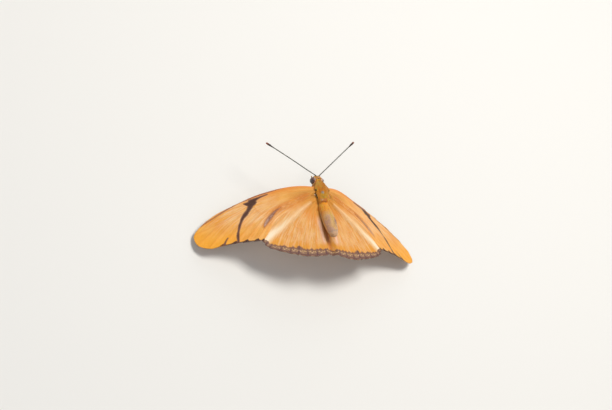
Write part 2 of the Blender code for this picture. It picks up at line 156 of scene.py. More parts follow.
across = (PICTURE_RIGHT - TO_CAMERA * PICTURE_RIGHT.dot(TO_CAMERA)).normalized()
turned = Matrix((across, TO_CAMERA.cross(across), TO_CAMERA)).transposed().to_4x4()
turned.translation = Vector(placed(TO_CAMERA * CAMERA_AWAY))
camera_data = bpy.data.cameras.new("camera")
camera_data.sensor_width = SENSOR_WIDTH
camera_data.lens = SENSOR_WIDTH * CAMERA_AWAY * PIXELS_PER_MM / PHOTO_SIZE[0]
camera_data.clip_start = 0.01
camera_data.clip_end = 20
camera_data.shift_x = (PHOTO_SIZE[0] / 2 - ROOTS_AT_PIXEL[0]) / PHOTO_SIZE[0]
camera_data.shift_y = (ROOTS_AT_PIXEL[1] - PHOTO_SIZE[1] / 2) / PHOTO_SIZE[0]
camera = bpy.data.objects.new("camera", camera_data)
camera.matrix_world = turned
bpy.context.scene.collection.objects.link(camera)
bpy.context.scene.camera = camera
print("lens", round(camera_data.lens, 1), "mm")

# %% [markdown]
# ## Floor and light
#
# A pale floor and large soft lamps are what a museum's photographer would use. The key light stands
# high and a little behind the head, where the sun stood in the photograph, so that the abdomen throws
# its shadow into the fold between the hindwings. Two weaker ones open the shadows.

# %% The studio
FLOOR_COLOUR = (0.8, 0.79, 0.76, 1)
FLOOR_SIZE = 6
SKY_COLOUR = (0.93, 0.95, 1.0, 1)
SKY_STRENGTH = 0.29
LAMPS_AIM_AT = (0, 6, -2)
LAMPS = {
    # name: place in metres, size, power, colour
    "key": ((-0.16, -0.12, 0.62), 0.26, 3.45, (1.0, 0.97, 0.92)),
    "fill": ((0.55, 0.35, 0.35), 0.6, 1.45, (0.95, 0.97, 1.0)),
    "front": ((-0.35, -0.55, 0.25), 0.6, 1.0, (1.0, 0.98, 0.95)),
}


def lamp(name, place, size, power, colour):
    light = bpy.data.lights.new(name, "AREA")
    light.size = size
    light.energy = power
    light.color = colour
    stand = bpy.data.objects.new(name, light)
    stand.location = place
    aim = Vector(placed(LAMPS_AIM_AT)) - Vector(place)
    stand.rotation_euler = aim.to_track_quat("-Z", "Y").to_euler()
    bpy.context.scene.collection.objects.link(stand)


deselect()
bpy.ops.mesh.primitive_plane_add(size=FLOOR_SIZE)
floor = named("floor")
floor_paint = bpy.data.materials.new("floor_paint")
floor_paint.use_nodes = True
floor_shader = floor_paint.node_tree.nodes["Principled BSDF"]
floor_shader.inputs["Base Color"].default_value = FLOOR_COLOUR
floor_shader.inputs["Roughness"].default_value = 0.9
floor.data.materials.append(floor_paint)
for name, facts in LAMPS.items():
    lamp(name, *facts)
sky = bpy.data.worlds.new("sky")
sky.use_nodes = True
sky.node_tree.nodes["Background"].inputs["Color"].default_value = SKY_COLOUR
sky.node_tree.nodes["Background"].inputs["Strength"].default_value = SKY_STRENGTH
bpy.context.scene.world = sky
bpy.context.scene.view_settings.view_transform = "Standard"
print(len(LAMPS), "lamps")

# %% [markdown]
# ## Materials as arithmetic
#
# A butterfly's colours are masks over masks: a mark, its ragged edge, the rows of scales. They read
# best as arithmetic. A Signal wraps a number in the material's node tree, so that `1 - mark` adds
# a Math node, and a Finish adds every other node by one method.

# %% Signal
class Signal:
    """A socket that carries a number. Each operation on it adds a Math node."""

    def __init__(self, finish, socket):
        self.finish = finish
        self.socket = socket

    def maths(self, operation, *values):
        return self.finish.node("ShaderNodeMath", {"operation": operation}, values)

    def __add__(self, other):
        return self.maths("ADD", self, other)

    def __sub__(self, other):
        return self.maths("SUBTRACT", self, other)

    def __rsub__(self, other):
        return self.maths("SUBTRACT", other, self)

    def __mul__(self, other):
        return self.maths("MULTIPLY", self, other)

    def __truediv__(self, other):
        return self.maths("DIVIDE", self, other)

    def __abs__(self):
        return self.maths("ABSOLUTE", self)

    __radd__ = __add__
    __rmul__ = __mul__

    def rises(self, low, high):
        """0 below low and 1 above high, with a smooth step between."""
        settings = {"interpolation_type": "SMOOTHSTEP"}
        return self.finish.node("ShaderNodeMapRange", settings, (self, low, high))

    def falls(self, low, high):
        return 1 - self.rises(low, high)

    def near(self, value, width):
        """1 at the value, and 0 from width away."""
        return abs(self - value).falls(0, width)


# %% [markdown]
# ## One method for every node
#
# A Finish holds a Principled shader and adds nodes to it. Besides the one general method it has names
# for the few patterns that the butterfly needs, and `paint` lays colours one over another.

# %% Finish
class Finish:
    """A material: a Principled shader, and one method for every other node."""

    def __init__(self, name, **constants):
        self.material = bpy.data.materials.new(name)
        self.material.use_nodes = True
        self.tree = self.material.node_tree
        self.shader = self.tree.nodes["Principled BSDF"]
        self.coordinates = self.node("ShaderNodeTexCoord", output="Object")
        for words, value in constants.items():
            self.shader.inputs[words.replace("_", " ").title().replace("Ior", "IOR")].default_value = value

    def node(self, kind, settings=(), inputs=(), output=0):
        made = self.tree.nodes.new(kind)
        for key, value in dict(settings).items():
            setattr(made, key, value)
        for key, value in inputs.items() if isinstance(inputs, dict) else enumerate(inputs):
            if isinstance(value, Signal):
                self.tree.links.new(value.socket, made.inputs[key])
            else:
                made.inputs[key].default_value = value
        return Signal(self, made.outputs[output])

    def set(self, socket, signal):
        self.tree.links.new(signal.socket, self.shader.inputs[socket])

    def attribute(self, name):
        return self.node("ShaderNodeAttribute", {"attribute_name": name}, output="Fac")

    def place(self):
        """x, y and z in millimetres, from between the wing roots."""
        split = [self.node("ShaderNodeSeparateXYZ", inputs=[self.coordinates], output=i) for i in range(3)]
        x, y, z = (axis * (1 / MM) for axis in split)
        return x, y + ORIGIN_BEHIND_ROOT, z - ROOT_HEIGHT

    def vector(self, x, y, z=0.0):
        return self.node("ShaderNodeCombineXYZ", inputs=[x, y, z])

    def noise(self, vector, scale, detail=2.0):
        inputs = {"Vector": vector, "Scale": scale, "Detail": detail}
        return self.node("ShaderNodeTexNoise", inputs=inputs, output="Fac")

    def scales(self, along, over, output="Distance"):
        """Rows of scales: cells in the plane of along and over, each with a random colour."""
        settings = {"voronoi_dimensions": "2D"}
        inputs = {"Vector": self.vector(along, over), "Scale": 1.0, "Randomness": 0.55}
        return self.node("ShaderNodeTexVoronoi", settings, inputs, output)

    def mix(self, first, second, share):
        inputs = {0: share, 6: first, 7: second}
        return self.node("ShaderNodeMix", {"data_type": "RGBA"}, inputs, 2)

    def paint(self, colour, *layers):
        """Lays paints over the colour one after another, each given with its share."""
        for paint, share in layers:
            colour = self.mix(colour, paint, share)
        return colour

    def grain(self, scale, detail, rough, rougher, depth):
        """Fine noise that also gives the piece its roughness and bump."""
        grain = self.noise(self.vector(*self.place()), scale, detail)
        self.set("Roughness", rough + rougher * grain)
        self.bump(grain, depth)
        return grain

    def bump(self, height, depth_mm, strength=0.6):
        inputs = {"Strength": strength, "Distance": depth_mm * MM, "Height": height}
        self.set("Normal", self.node("ShaderNodeBump", inputs=inputs))


# %% [markdown]
# ## Lines and sheets
#
# The outlines and veins are a few landmarks with a smooth line through them. A wing is a sheet
# stretched between four such lines: its front edge, its rear edge, its root and its outer margin.
# Two shares say where a point lies on it, so a plain grid becomes a wing whose rows of faces fan out
# from the root as the veins do.

# %% Curves, distances and stretched sheets
def smooth(t):
    t = np.clip(t, 0, 1)
    return t * t * (3 - 2 * t)


def curve(landmarks, step=0.3):
    """A smooth line through the landmarks, with a point about every step."""
    given = np.asarray(landmarks, float)
    given = np.vstack([2 * given[0] - given[1], given, 2 * given[-1] - given[-2]])
    line = []
    for a, b, c, d in zip(given, given[1:], given[2:], given[3:]):
        count = max(1, round(np.linalg.norm(c - b) / step))
        for t in np.arange(count) / count:
            square = (2 * a - 5 * b + 4 * c - d) * t**2 / 2
            cube = (3 * b - a - 3 * c + d) * t**3 / 2
            line.append(b + (c - a) * t / 2 + square + cube)
    return np.array([*line, given[-2]])


def evenly(line, shares):
    """The points at these shares of the line's length."""
    gone = gone_along(line)
    return np.stack([np.interp(shares, gone / gone[-1], column) for column in line.T], axis=-1)


def away_from(points, line, widths=0.0):
    """Distance from each point to the line, less the line's own half width there."""
    widths = np.broadcast_to(widths, len(line))
    best = np.full(len(points), 1e9)
    for i, (a, b) in enumerate(zip(line, line[1:])):
        t = np.clip((points - a) @ (b - a) / ((b - a) @ (b - a) + 1e-12), 0, 1)
        far = np.linalg.norm(points - a - t[:, None] * (b - a), axis=1)
        best = np.minimum(best, far - widths[i] - (widths[i + 1] - widths[i]) * t)
    return best


def mirrored(points, side):
    return np.asarray(points, float) * (side, 1, 1)


def stretched(sides, over, along):
    """Points of a sheet between its sides: front, rear, root and outer. over runs from front to rear."""
    front, rear, root, outer = sides
    o = over[:, None]
    a = along[:, None]
    edges = (1 - o) * evenly(front, along) + o * evenly(rear, along)
    ends = (1 - a) * evenly(root, over) + a * evenly(outer, over)
    corners = (1 - a) * ((1 - o) * front[0] + o * rear[0]) + a * ((1 - o) * front[-1] + o * rear[-1])
    return edges + ends - corners


# %% [markdown]
# ## The wings' shape
#
# In life the forewing hangs a little from its root, its rear part is twisted up and its tip bends
# down. The hindwing is a plainer slope that gives way under the forewing and folds down beside the
# abdomen. These are the surfaces that the solids have, so each wing lies inside its own solid.

# %% Wing surfaces
DROOP = 0.35
TWIST = 0.206
CAMBER = 0.0105
TIP_DROP = 0.51
TIP_BENDS_OVER = 40
FORE_HINGE = 2.6
FORE_AXIS = (0.9366, 0.3506)
HIND_AXIS = (0.447, 0.894)
TWIST_STARTS_BY = 14.0
HIND_ROOT_DROP = 1.5
HIND_HINGE = 2.7
HIND_DROOP = 0.2176
CLINGS_FROM = 2.0
REAR_EDGE_SLOPE = 0.72
BEHIND_DROP = 1.1
CLINGS_FOR = 4.5
UNDER_FOREWING = 0.42
FOLD_FROM = 2.1
FOLD_WIDTH = 1.9
FOLD_DROPS = {1: 1.25, -1: 1.75}
SCALLOP = 0.5


def forewing_height(x, y, side):
    out = x - FORE_HINGE
    along = out * FORE_AXIS[0] + y * FORE_AXIS[1]
    ahead = out * FORE_AXIS[1] - y * FORE_AXIS[0]
    twisted = smooth(along / TWIST_STARTS_BY)
    tip = TIP_DROP * np.clip(along / TIP_BENDS_OVER, 0, 1.1) ** 3
    return -DROOP * out - (TWIST * ahead + CAMBER * np.maximum(0, ahead) ** 2) * twisted - tip


def hindwing_height(x, y, side):
    """Pressed to the forewing along its rear edge, and a plain slope from a few millimetres behind."""
    plain = -HIND_ROOT_DROP - HIND_DROOP * (x - HIND_HINGE)
    under = forewing_height(x, y, side) - UNDER_FOREWING
    behind = (y - CLINGS_FROM) - REAR_EDGE_SLOPE * (x - CLINGS_FROM)
    under = under - BEHIND_DROP * smooth((behind - 0.5) / CLINGS_FOR)
    share = np.clip(0.5 + (under - plain) / 1.2, 0, 1) * smooth(behind / CLINGS_FOR)
    fold = FOLD_DROPS[side] * smooth((FOLD_FROM - x) / FOLD_WIDTH) * smooth((y - 3) / 4)
    return under + (plain - under) * share - 0.4 * share * (1 - share) - fold


# %% [markdown]
# ## Outlines and veins
#
# Seen from above, each wing has a front edge, a rear edge and an outer margin. The veins run out
# from the root, most of them as far as the margin.

# %% Landmarks of the outlines and veins
FORE_FRONT = (
    (1.9, -0.6), (6.2, -1.5), (10.5, -1.75), (15, -1.4), (20, -0.3), (26, 2), (33.5, 5.3), (38.5, 8.9),
    (41.2, 11.9), (41.7, 14.2),
)
FORE_OUTER = ((41.7, 14.2), (40.9, 16.3), (38.0, 17.7), (34.0, 17.3), (29.0, 16.9), (25.0, 17.0), (22.5, 17.1))
FORE_REAR = ((1.9, 2.0), (5.4, 3.7), (9.6, 5.7), (14.6, 8.5), (18.1, 11.8), (20.6, 15.0), (22.5, 17.1))
HIND_FRONT = ((1.5, 1.2), (6.0, 1.7), (11.0, 4.0), (16.0, 8.0), (20.0, 12.2), (22.3, 15.6), (22.7, 17.4))
HIND_OUTER = (
    (22.7, 17.4), (21.7, 18.9), (19.5, 20.1), (16, 21.3), (12, 22.5), (8.5, 23.1), (5, 23.1), (2.4, 22.8),
    (0.25, 22.2),
)
HIND_REAR = (
    (1.3, 4.6), (1.15, 5.9), (0.85, 7.6), (0.4, 10.5), (0.05, 13.5), (-0.12, 17), (-0.1, 20.6), (0.25, 22.2),
)
FORE_VEINS = {
    "subcosta": ((2.4, -0.1), (9, -0.9), (15, -0.6), (22.5, 0.7)),
    "radius": ((2.4, 0.4), (10, 0.2), (16, 1.1), (21.6, 2.9), (27, 5.6), (34, 10.2), (41.3, 15.8)),
    "radius_1": ((17.5, 1.5), (22, 1.6), (27.5, 2.6)),
    "radius_2": ((21.6, 2.9), (27, 3.6), (33, 5.1)),
    "radius_3": ((27, 5.6), (33, 7.2), (38, 8.5)),
    "radius_4": ((31, 8.1), (36, 10), (41.2, 11.9)),
    "media_1": ((21.6, 2.9), (27, 7.4), (33, 12.2), (38.6, 17.6)),
    "cell_end": ((21.6, 2.9), (21.6, 5), (20.2, 7.2)),
    "media_2": ((21.6, 5), (26, 9.2), (30.5, 13.4), (34.8, 17.5)),
    "cubitus": ((2.4, 0.9), (9, 2.9), (14, 4.5), (20.2, 7.2), (25.5, 11.6), (31.3, 17.2)),
    "cubitus_1": ((17.4, 5.9), (22.5, 11.2), (27.8, 17)),
    "cubitus_2": ((14, 4.5), (19.4, 10.8), (24.6, 17.1)),
    "anal": ((2.4, 1.7), (8, 4), (13, 6.5), (17.2, 9.7), (20.1, 13.2), (22.3, 17)),
}
HIND_VEINS = {
    "subcosta": ((2.4, 3), (7, 4.2), (12, 7.2), (18, 12.4), (22.6, 17)),
    "radius": ((2.4, 3.4), (7.8, 6.8), (12, 10.6), (16.6, 15), (20.8, 19.5)),
    "radius_s": ((7.8, 6.8), (14, 11.2), (22, 18.5)),
    "cell_end": ((12, 10.6), (10.6, 12.6), (8.6, 13.4)),
    "media_2": ((10.9, 12.3), (14.4, 16.6), (17.8, 20.8)),
    "media_3": ((9.7, 13.2), (12.3, 17.5), (14.8, 21.8)),
    "cubitus": ((2.3, 3.9), (5.2, 8), (7, 11.2), (8.6, 13.4), (10.5, 17.8), (12, 22.6)),
    "cubitus_2": ((7, 11.2), (8.2, 17), (8.9, 23.2)),
    "anal_2": ((2.3, 4.1), (3.9, 10), (4.9, 16.5), (5.8, 23.3)),
    "anal_3": ((3.9, 10), (3.1, 16), (2.5, 22.8)),
}

# %% [markdown]
# ## Scalloped margins
#
# The hindwing's margin is drawn in between the ends of its veins. Then each wing has its four sides.

# %% Margins and sides
def vein_ends(outer, veins):
    """Where on the margin the veins end, as places in its list of points."""
    ends = sorted({int(np.argmin(np.linalg.norm(outer - vein[-1], axis=1))) for vein in veins.values()})
    return [0, *[end for end in ends if 3 < end < len(outer) - 4], len(outer) - 1]


def scalloped(outer, veins):
    """The margin drawn in between the ends of the veins, so that a pointed tooth stands at each."""
    ends = vein_ends(outer, veins)
    middle = outer.mean(0)
    shaped = outer.copy()
    for first, last in zip(ends, ends[1:]):
        t = np.linspace(0, 1, last - first + 1)[:, None]
        inward = unit(middle - outer[first : last + 1])
        deep = SCALLOP * randomly.uniform(0.7, 1.2)
        wave = np.sin(math.pi * t) ** 0.55 - 0.22 * np.sin(3 * math.pi * t)
        shaped[first : last + 1] += inward * deep * wave
    return shaped


def sides_of(front, rear, outer, step):
    return [curve(front), curve(rear), curve((front[0], rear[0])), curve(outer, step)]


fore_sides = sides_of(FORE_FRONT, FORE_REAR, FORE_OUTER, 0.3)
hind_sides = sides_of(HIND_FRONT, HIND_REAR, HIND_OUTER, 0.12)
hind_sides[3] = scalloped(hind_sides[3], HIND_VEINS)
print(len(FORE_VEINS), "veins in a forewing,", len(HIND_VEINS), "in a hindwing")

# %% [markdown]
# ## The wings' marks
#
# The dark marks are strokes, each a line of a few landmarks with a half width at each. A wing keeps
# its distance from the nearest stroke as an attribute of its points, and the material turns that
# distance into a crisp mark with a ragged edge of single scales. Distances from the veins and from
# the outer margin are kept the same way.

# %% Strokes, as x, y and half width
FORE_MARKS = {
    "front_streak": ((16.6, -0.1, 0.02), (18.4, 0.4, 0.14), (20.2, 1.1, 0.36), (22, 2, 0.8)),
    "blotch": ((21, 2.3, 0.4), (22.2, 2.8, 0.88), (23.4, 2.8, 0.62), (24.3, 2.5, 0.1)),
    "bar": ((22.5, 3.2, 0.74), (23.2, 4.4, 0.54), (24.1, 5.6, 0.42), (25, 6.6, 0.52), (26.1, 7.8, 0.38),
        (27.2, 9.6, 0.2), (27.9, 10.9, 0.26), (28.6, 12.6, 0.2), (29.2, 14.2, 0.28), (29.8, 17, 0.22)),
    "tip_line": ((32.2, 14.6, 0.02), (33, 15.6, 0.07), (34, 17.2, 0.18)),
}
FORE_EDGE = {
    "front_edge": ((11, -1.95, 0.05), (15, -1.4, 0.34), (20, -0.3, 0.46), (23, 0.8, 0.4), (27, 2.4, 0.16),
        (38.6, 8.9, 0.1)),
}
FORE_STREAK = {
    "cell_streak": ((14.2, 5.5, 0.02), (16.2, 6.8, 0.3), (17.8, 8.3, 0.55), (19.2, 9.8, 0.55),
        (20.5, 11.4, 0.38), (21.1, 12.4, 0.05)),
}
FORE_WARM = {"warm": ((5.6, 1.9, 0.5), (8.0, 3.2, 1.1), (11.0, 4.7, 1.0), (14.0, 5.6, 0.8), (16.4, 7.0, 0.6))}
# The pale band along the hindwing's front: a paler patch of the wing, with painted sheen laid on it
HIND_PALE_BAND_AND_SHEEN = {
    "gold": ((4.6, 4.6, -0.1), (7.3, 6.4, 0.15), (11.7, 9.5, 0.5), (15.8, 12.6, 0.85), (18.9, 14.7, 1.1),
        (21.4, 16.9, 1)),
}


def stroked(points, marks):
    """Distance from the edge of the nearest stroke, below 0 inside it."""
    lines = [curve(mark) for mark in marks.values()]
    return np.min([away_from(points, line[:, :2], line[:, 2]) for line in lines], axis=0)


# %% [markdown]
# ## Making a wing
#
# A grid is added, its points are sent to their places on the stretched sheet, and the membrane sags a
# little between the veins. Solidify then gives the sheet its two faces. Its thickness follows a vertex
# group that is full along the veins, so they stand up as fine ridges on both faces. A membrane as thin
# as a real one, a few hundredths of a millimetre, would vanish in a print, so it is a little thicker.

# %% What a wing keeps
GRID = (150, 150)
VEIN_THICK = 0.3
MEMBRANE_SHARE = 0.36
SAG = 0.13
PLEAT = 0.028
PLEATS_TURN = 120
VEIN_WIDE = 0.34
VEIN_THINS_BY = 0.16


def keep(piece, name, values):
    attribute = piece.data.attributes.get(name) or piece.data.attributes.new(name, "FLOAT", "POINT")
    attribute.data.foreach_set("value", np.asarray(values, np.float32))


def bake_map(piece, plan, lower):
    """A map for baking: the wing seen from above beside the wing seen from below."""
    mesh = piece.data
    corners = np.empty(len(mesh.loops), np.int32)
    mesh.loops.foreach_get("vertex_index", corners)
    sizes = np.empty(len(mesh.polygons), np.int32)
    mesh.polygons.foreach_get("loop_total", sizes)
    starts = np.concatenate([[0], np.cumsum(sizes)[:-1]])
    all_lower = np.minimum.reduceat(lower[corners].astype(int), starts)
    low = plan.min(0)
    spread = (plan - low) / (plan.max(0) - low).max()
    uv = spread[corners] * 0.49 + 0.005
    uv[:, 1] += 0.5 * np.repeat(all_lower, sizes)
    for layer in list(mesh.uv_layers):
        mesh.uv_layers.remove(layer)
    mesh.uv_layers.new(name="OFBake").data.foreach_set("uv", uv.astype(np.float32).ravel())


def phase(plan, outer, veins):
    """How far each point lies from one vein's end to the next, along the margin."""
    ends = vein_ends(outer, veins)
    gone = gone_along(outer)
    nearest = np.full(len(plan), 1e9)
    place = np.zeros(len(plan))
    for point, length in zip(outer, gone):
        far = np.linalg.norm(plan - point, axis=1)
        closer = far < nearest
        nearest[closer] = far[closer]
        place[closer] = length
    return np.interp(place, gone[ends], np.arange(len(ends))) % 1


# %% [markdown]
# ## From grid to wing
#
# In order: the grid's points go to their places, the distances are kept, the sheet gets its
# thickness and its normals, and last its map for baking.

# %% One wing from a grid
def make_wing(name, side, sides, height, veins, marks, finish, node, tuck):
    deselect()
    bpy.ops.mesh.primitive_grid_add(x_subdivisions=GRID[0], y_subdivisions=GRID[1], size=2)
    piece = named(name)
    flat = points_of(piece)
    over = (flat[:, 0] + 1) / 2
    along = (flat[:, 1] + 1) / 2
    plan = stretched(sides, over, along)
    vein = np.min([away_from(plan, curve(line, 0.8)) for line in veins.values()], axis=0)
    rim = away_from(plan, sides[3])
    reach = np.linalg.norm(plan, axis=1) / np.linalg.norm(plan, axis=1).max()
    ridge = np.clip(1 - vein / (VEIN_WIDE - VEIN_THINS_BY * reach), 0, 1) * (1 - 0.55 * reach)
    shaping = smooth(vein / 1.1) * smooth(rim / 1.5) * smooth(along * 6)
    pleats = PLEAT * np.sin(over * PLEATS_TURN + 5 * np.sin(along * 4)) * shaping
    pressed = tuck * smooth(1 - away_from(plan, sides[1]) / 1.6)
    z = height(plan[:, 0], plan[:, 1], side) - SAG * shaping + pleats - pressed
    move_points(piece, placed(np.column_stack([plan[:, 0] * side, plan[:, 1], z])))
    kept = {"vein": vein, "rim": rim, "over": over, "out": along, "phase": phase(plan, sides[3], veins)}
    kept |= {kind: stroked(plan, strokes) for kind, strokes in marks.items()}
    for kind, values in kept.items():
        keep(piece, kind, values)
    group = piece.vertex_groups.new(name="thick")
    edge = np.minimum(1, np.minimum(rim, away_from(plan, sides[0])) / 0.5)
    thick = MEMBRANE_SHARE * (0.6 + 0.4 * edge) + (1 - MEMBRANE_SHARE) * ridge
    for i, share in enumerate(np.clip(thick, 0, 1)):
        group.add([i], float(share), "REPLACE")
    count = len(plan)
    apply_modifier(piece, "SOLIDIFY", thickness=VEIN_THICK * MM, offset=0.0, vertex_group="thick")
    everywhere = points_of(piece)
    face_outward(piece)
    first_above = everywhere[:count, 2].mean() > everywhere[count:, 2].mean()
    upper = (np.arange(len(everywhere)) < count) == first_above
    keep(piece, "upper", upper)
    bake_map(piece, everywhere[:, :2], ~upper)
    piece.vertex_groups.clear()
    return finished(piece, finish, "wing", node)


# %% [markdown]
# ## The wings' finish
#
# A wing's colour lies in its scales, which overlap in rows across the wing like tiles, each about a
# tenth of a millimetre long. Cells that are longer than wide give their rows, and each takes its own
# slight shade. On the forewing a warm orange is yellower towards the tip, and on the hindwing it ends
# in a brown border with a pale crescent in each space between two veins. Below, the wings are a soft
# buff. A little sheen gives the silk that shows where the light grazes, and pale pink-cream rays paint
# more of that sheen into the colour of both wings.

# %% Paints of the wings
SCALE_LONG = 0.13
SCALE_WIDE = 0.075
DARK = (0.078, 0.029, 0.016, 1)
BROWN = (0.2, 0.085, 0.052, 1)
RED_BROWN = (0.36, 0.115, 0.045, 1)
PLUM = (0.115, 0.042, 0.046, 1)
MAUVE_BROWN = (0.22, 0.11, 0.065, 1)
BUFF = (0.62, 0.38, 0.16, 1)
ORANGE = (0.8, 0.325, 0.04, 1)
DEEP_ORANGE = (0.78, 0.235, 0.016, 1)
WARM = (0.58, 0.165, 0.012, 1)
GOLDEN = (0.62, 0.27, 0.03, 1)
YELLOW_ORANGE = (0.85, 0.41, 0.08, 1)
TIP_ORANGE = (0.92, 0.395, 0.024, 1)
REAR_ORANGE = (0.74, 0.31, 0.028, 1)
SOFT_ORANGE = (0.7, 0.3, 0.045, 1)
SOFT_YELLOW = (0.76, 0.4, 0.1, 1)
CREAM = (0.96, 0.74, 0.44, 1)
PALE_CREAM = (1.0, 0.86, 0.66, 1)
PINK_CREAM = (0.84, 0.54, 0.29, 1)
LILAC_CREAM = (0.8, 0.53, 0.42, 1)
UNDER_BUFF = (0.56, 0.33, 0.15, 1)
UNDER_BROWN = (0.33, 0.17, 0.085, 1)
# x on the hindwing, and how wide its brown border is there
BORDER = ((1.0, 1.7), (3.6, 2.3), (7.4, 2.6), (11.5, 2.5), (14.2, 2.2), (17.0, 2.0), (20.2, 1.35), (22.3, 0.9))

# %% [markdown]
# ## Painting a hindwing
#
# Paints are laid one over another, each with a share from 0 to 1. The ground is a soft orange with
# pale rays of painted sheen, and a pale band in front carries more painted sheen. A pale strip of
# painted highlight runs along the fold beside the abdomen, and painted shade darkens the fold under
# it. The border is a row of crescents between dark lines.

# %% Hindwing and border
def tuned(finish, colour, shade):
    grey = finish.vector(shade, shade, shade)
    return finish.node("ShaderNodeVectorMath", {"operation": "MULTIPLY"}, [colour, grey])


def border_colours(finish, colour, x, ragged):
    """The hindwing's border: a brown scalloped line, paired buff crescents and a dark rim."""
    width = 0
    for (x_from, wide_from), (x_to, wide_to) in zip(BORDER, BORDER[1:]):
        share = finish.node("ShaderNodeMapRange", {}, [x, x_from, x_to])
        width = width + share * (wide_to - wide_from)
    band = (finish.attribute("rim") + ragged * 0.55) / (width + BORDER[0][1])
    place = finish.attribute("phase") + ragged * 0.1
    wave = (place * (4 * math.pi)).maths("COSINE", place * (4 * math.pi))
    at_vein = finish.attribute("vein").falls(0.1, 0.5)
    inner = band - 0.1 * wave - 0.1 * at_vein
    return finish.paint(
        colour,
        (RED_BROWN, inner.falls(0.94, 1.14) * 0.55),
        (MAUVE_BROWN, inner.falls(0.86, 1.0)),
        (BUFF, inner.near(0.62, 0.23) * wave.falls(-0.2, 0.7)),
        (PINK_CREAM, inner.near(0.34, 0.16) * wave.rises(-0.3, 0.6) * 0.9),
        (BROWN, inner.near(0.88, 0.13)),
        (PLUM, (band + 0.1 * wave).near(0.42, 0.12) * 0.85),
        (PLUM, band.near(0.14, 0.12) * 0.9),
        (PLUM, at_vein * inner.falls(0.7, 1.0) * 0.8),
        (PINK_CREAM, band.falls(0.0, 0.07) * wave.rises(-0.6, 0.5) * 0.7),
    )


def hind_colours(finish, x, y, ragged, cloud, ray, fine):
    rim = finish.attribute("rim")
    out = finish.attribute("out")
    gold = finish.attribute("gold") + ragged * 0.8
    colour = finish.paint(
        SOFT_ORANGE,
        (SOFT_YELLOW, cloud.rises(0.4, 0.66)),
        (DEEP_ORANGE, out.falls(0.25, 0.55) * x.rises(2.0, 4.0) * 0.45),
        # Pale pink-cream and lilac rays: painted sheen along the scale rows, away from the root
        (PINK_CREAM, ray.rises(0.4, 0.7) * out.rises(0.2, 0.5) * 0.6),
        (LILAC_CREAM, fine.rises(0.5, 0.72) * out.rises(0.25, 0.5) * 0.35),
        (DEEP_ORANGE, ray.falls(0.34, 0.5) * 0.35),
        (GOLDEN, out.falls(0.12, 0.4) * 0.7),
        (REAR_ORANGE, rim.falls(3.0, 5.2) * (0.35 + 0.6 * ray.falls(0.5, 0.6))),
        # A pale strip along the fold beside the abdomen: painted highlight where the light catches the fold
        (LILAC_CREAM, x.near(2.5, 1.2) * (0.35 + 0.6 * fine) * rim.rises(2.6, 5.0) * y.rises(8, 12)),
        # Deep orange and red brown in the fold under the abdomen: painted shade
        (WARM, x.falls(0.0, 1.2) * 0.75),
        (RED_BROWN, x.falls(0.2, 1.4) * y.near(16.5, 4.0) * 0.65),
        (DEEP_ORANGE, finish.attribute("vein").falls(0.06, 0.34) * 0.28),
        # The pale band in front: the wing's paler patch, with painted sheen over it, brightest towards its
        # outer end
        (CREAM, gold.falls(-0.5, 1.1) * (0.35 + 0.5 * ray)),
        (PALE_CREAM, gold.falls(-0.9, 0.1) * out.rises(0.5, 0.9) * 0.75),
    )
    return border_colours(finish, colour, x, ragged)


# %% [markdown]
# ## Painting a forewing
#
# The root is warmer and the tip yellower, and pale rays over the middle are painted sheen.
# The dark marks come last, so that nothing covers them.

# %% Forewing
def fore_colours(finish, x, y, ragged, cloud, ray, fine):
    rim = finish.attribute("rim")
    out = finish.attribute("out")
    over = finish.attribute("over")
    warm = finish.attribute("warm") + ragged * 1.6
    streak = finish.attribute("streak") + ragged * 0.45
    mark = finish.attribute("mark") + ragged * 0.3
    edge = finish.attribute("edge") + ragged * 0.25
    # painted_sheen: where the forewing's middle gets painted sheen, as if the light grazed its scales
    painted_sheen = out.rises(0.25, 0.5) * out.falls(0.62, 0.86)
    line = rim + ragged * 0.4 - 0.55 * finish.attribute("vein").falls(0.1, 0.7)
    return finish.paint(
        ORANGE,
        (YELLOW_ORANGE, cloud.rises(0.38, 0.64)),
        (DEEP_ORANGE, over.falls(0.05, 0.22) * out.falls(0.35, 0.6) * 0.8),
        (GOLDEN, out.falls(0.1, 0.34) * over.rises(0.15, 0.45) * 0.85),
        # Pale pink and cream rays: painted sheen, strongest over the middle of the wing
        (PINK_CREAM, ray.rises(0.34, 0.68) * (0.18 + 0.8 * painted_sheen)),
        (CREAM, fine.rises(0.55, 0.72) * painted_sheen * 0.45),
        (TIP_ORANGE, out.rises(0.78, 0.97) * over.falls(0.45, 0.85) * 0.85),
        (WARM, warm.falls(-0.4, 1.3) * cloud.rises(0.28, 0.58) * 0.75),
        (PINK_CREAM, warm.falls(-0.6, 0.6) * fine.rises(0.58, 0.68) * 0.7),
        (DEEP_ORANGE, finish.attribute("vein").falls(0.06, 0.34) * 0.28),
        (WARM, streak.falls(0.0, 0.9) * 0.6),
        (BROWN, streak.falls(-0.25, 0.2) * 0.9),
        (LILAC_CREAM, streak.falls(-0.4, 0.1) * (fine.rises(0.44, 0.64) * 0.5 + x.rises(17.8, 20.8) * 0.3)),
        (DARK, line.falls(0.14, 0.36) * out.falls(2.0, 3.0) * over.rises(0.3, 0.45)),
        (RED_BROWN, edge.falls(-0.05, 0.3) * 0.9),
        (BROWN, mark.falls(0.0, 0.3)),
        (DARK, mark.falls(-0.28, 0.04)),
    )


# %% [markdown]
# ## From paints to a material
#
# Broad clouds, rays that run out with the scales, a fine grain and a ragged edge serve both wings.
# The underside is the same on both.

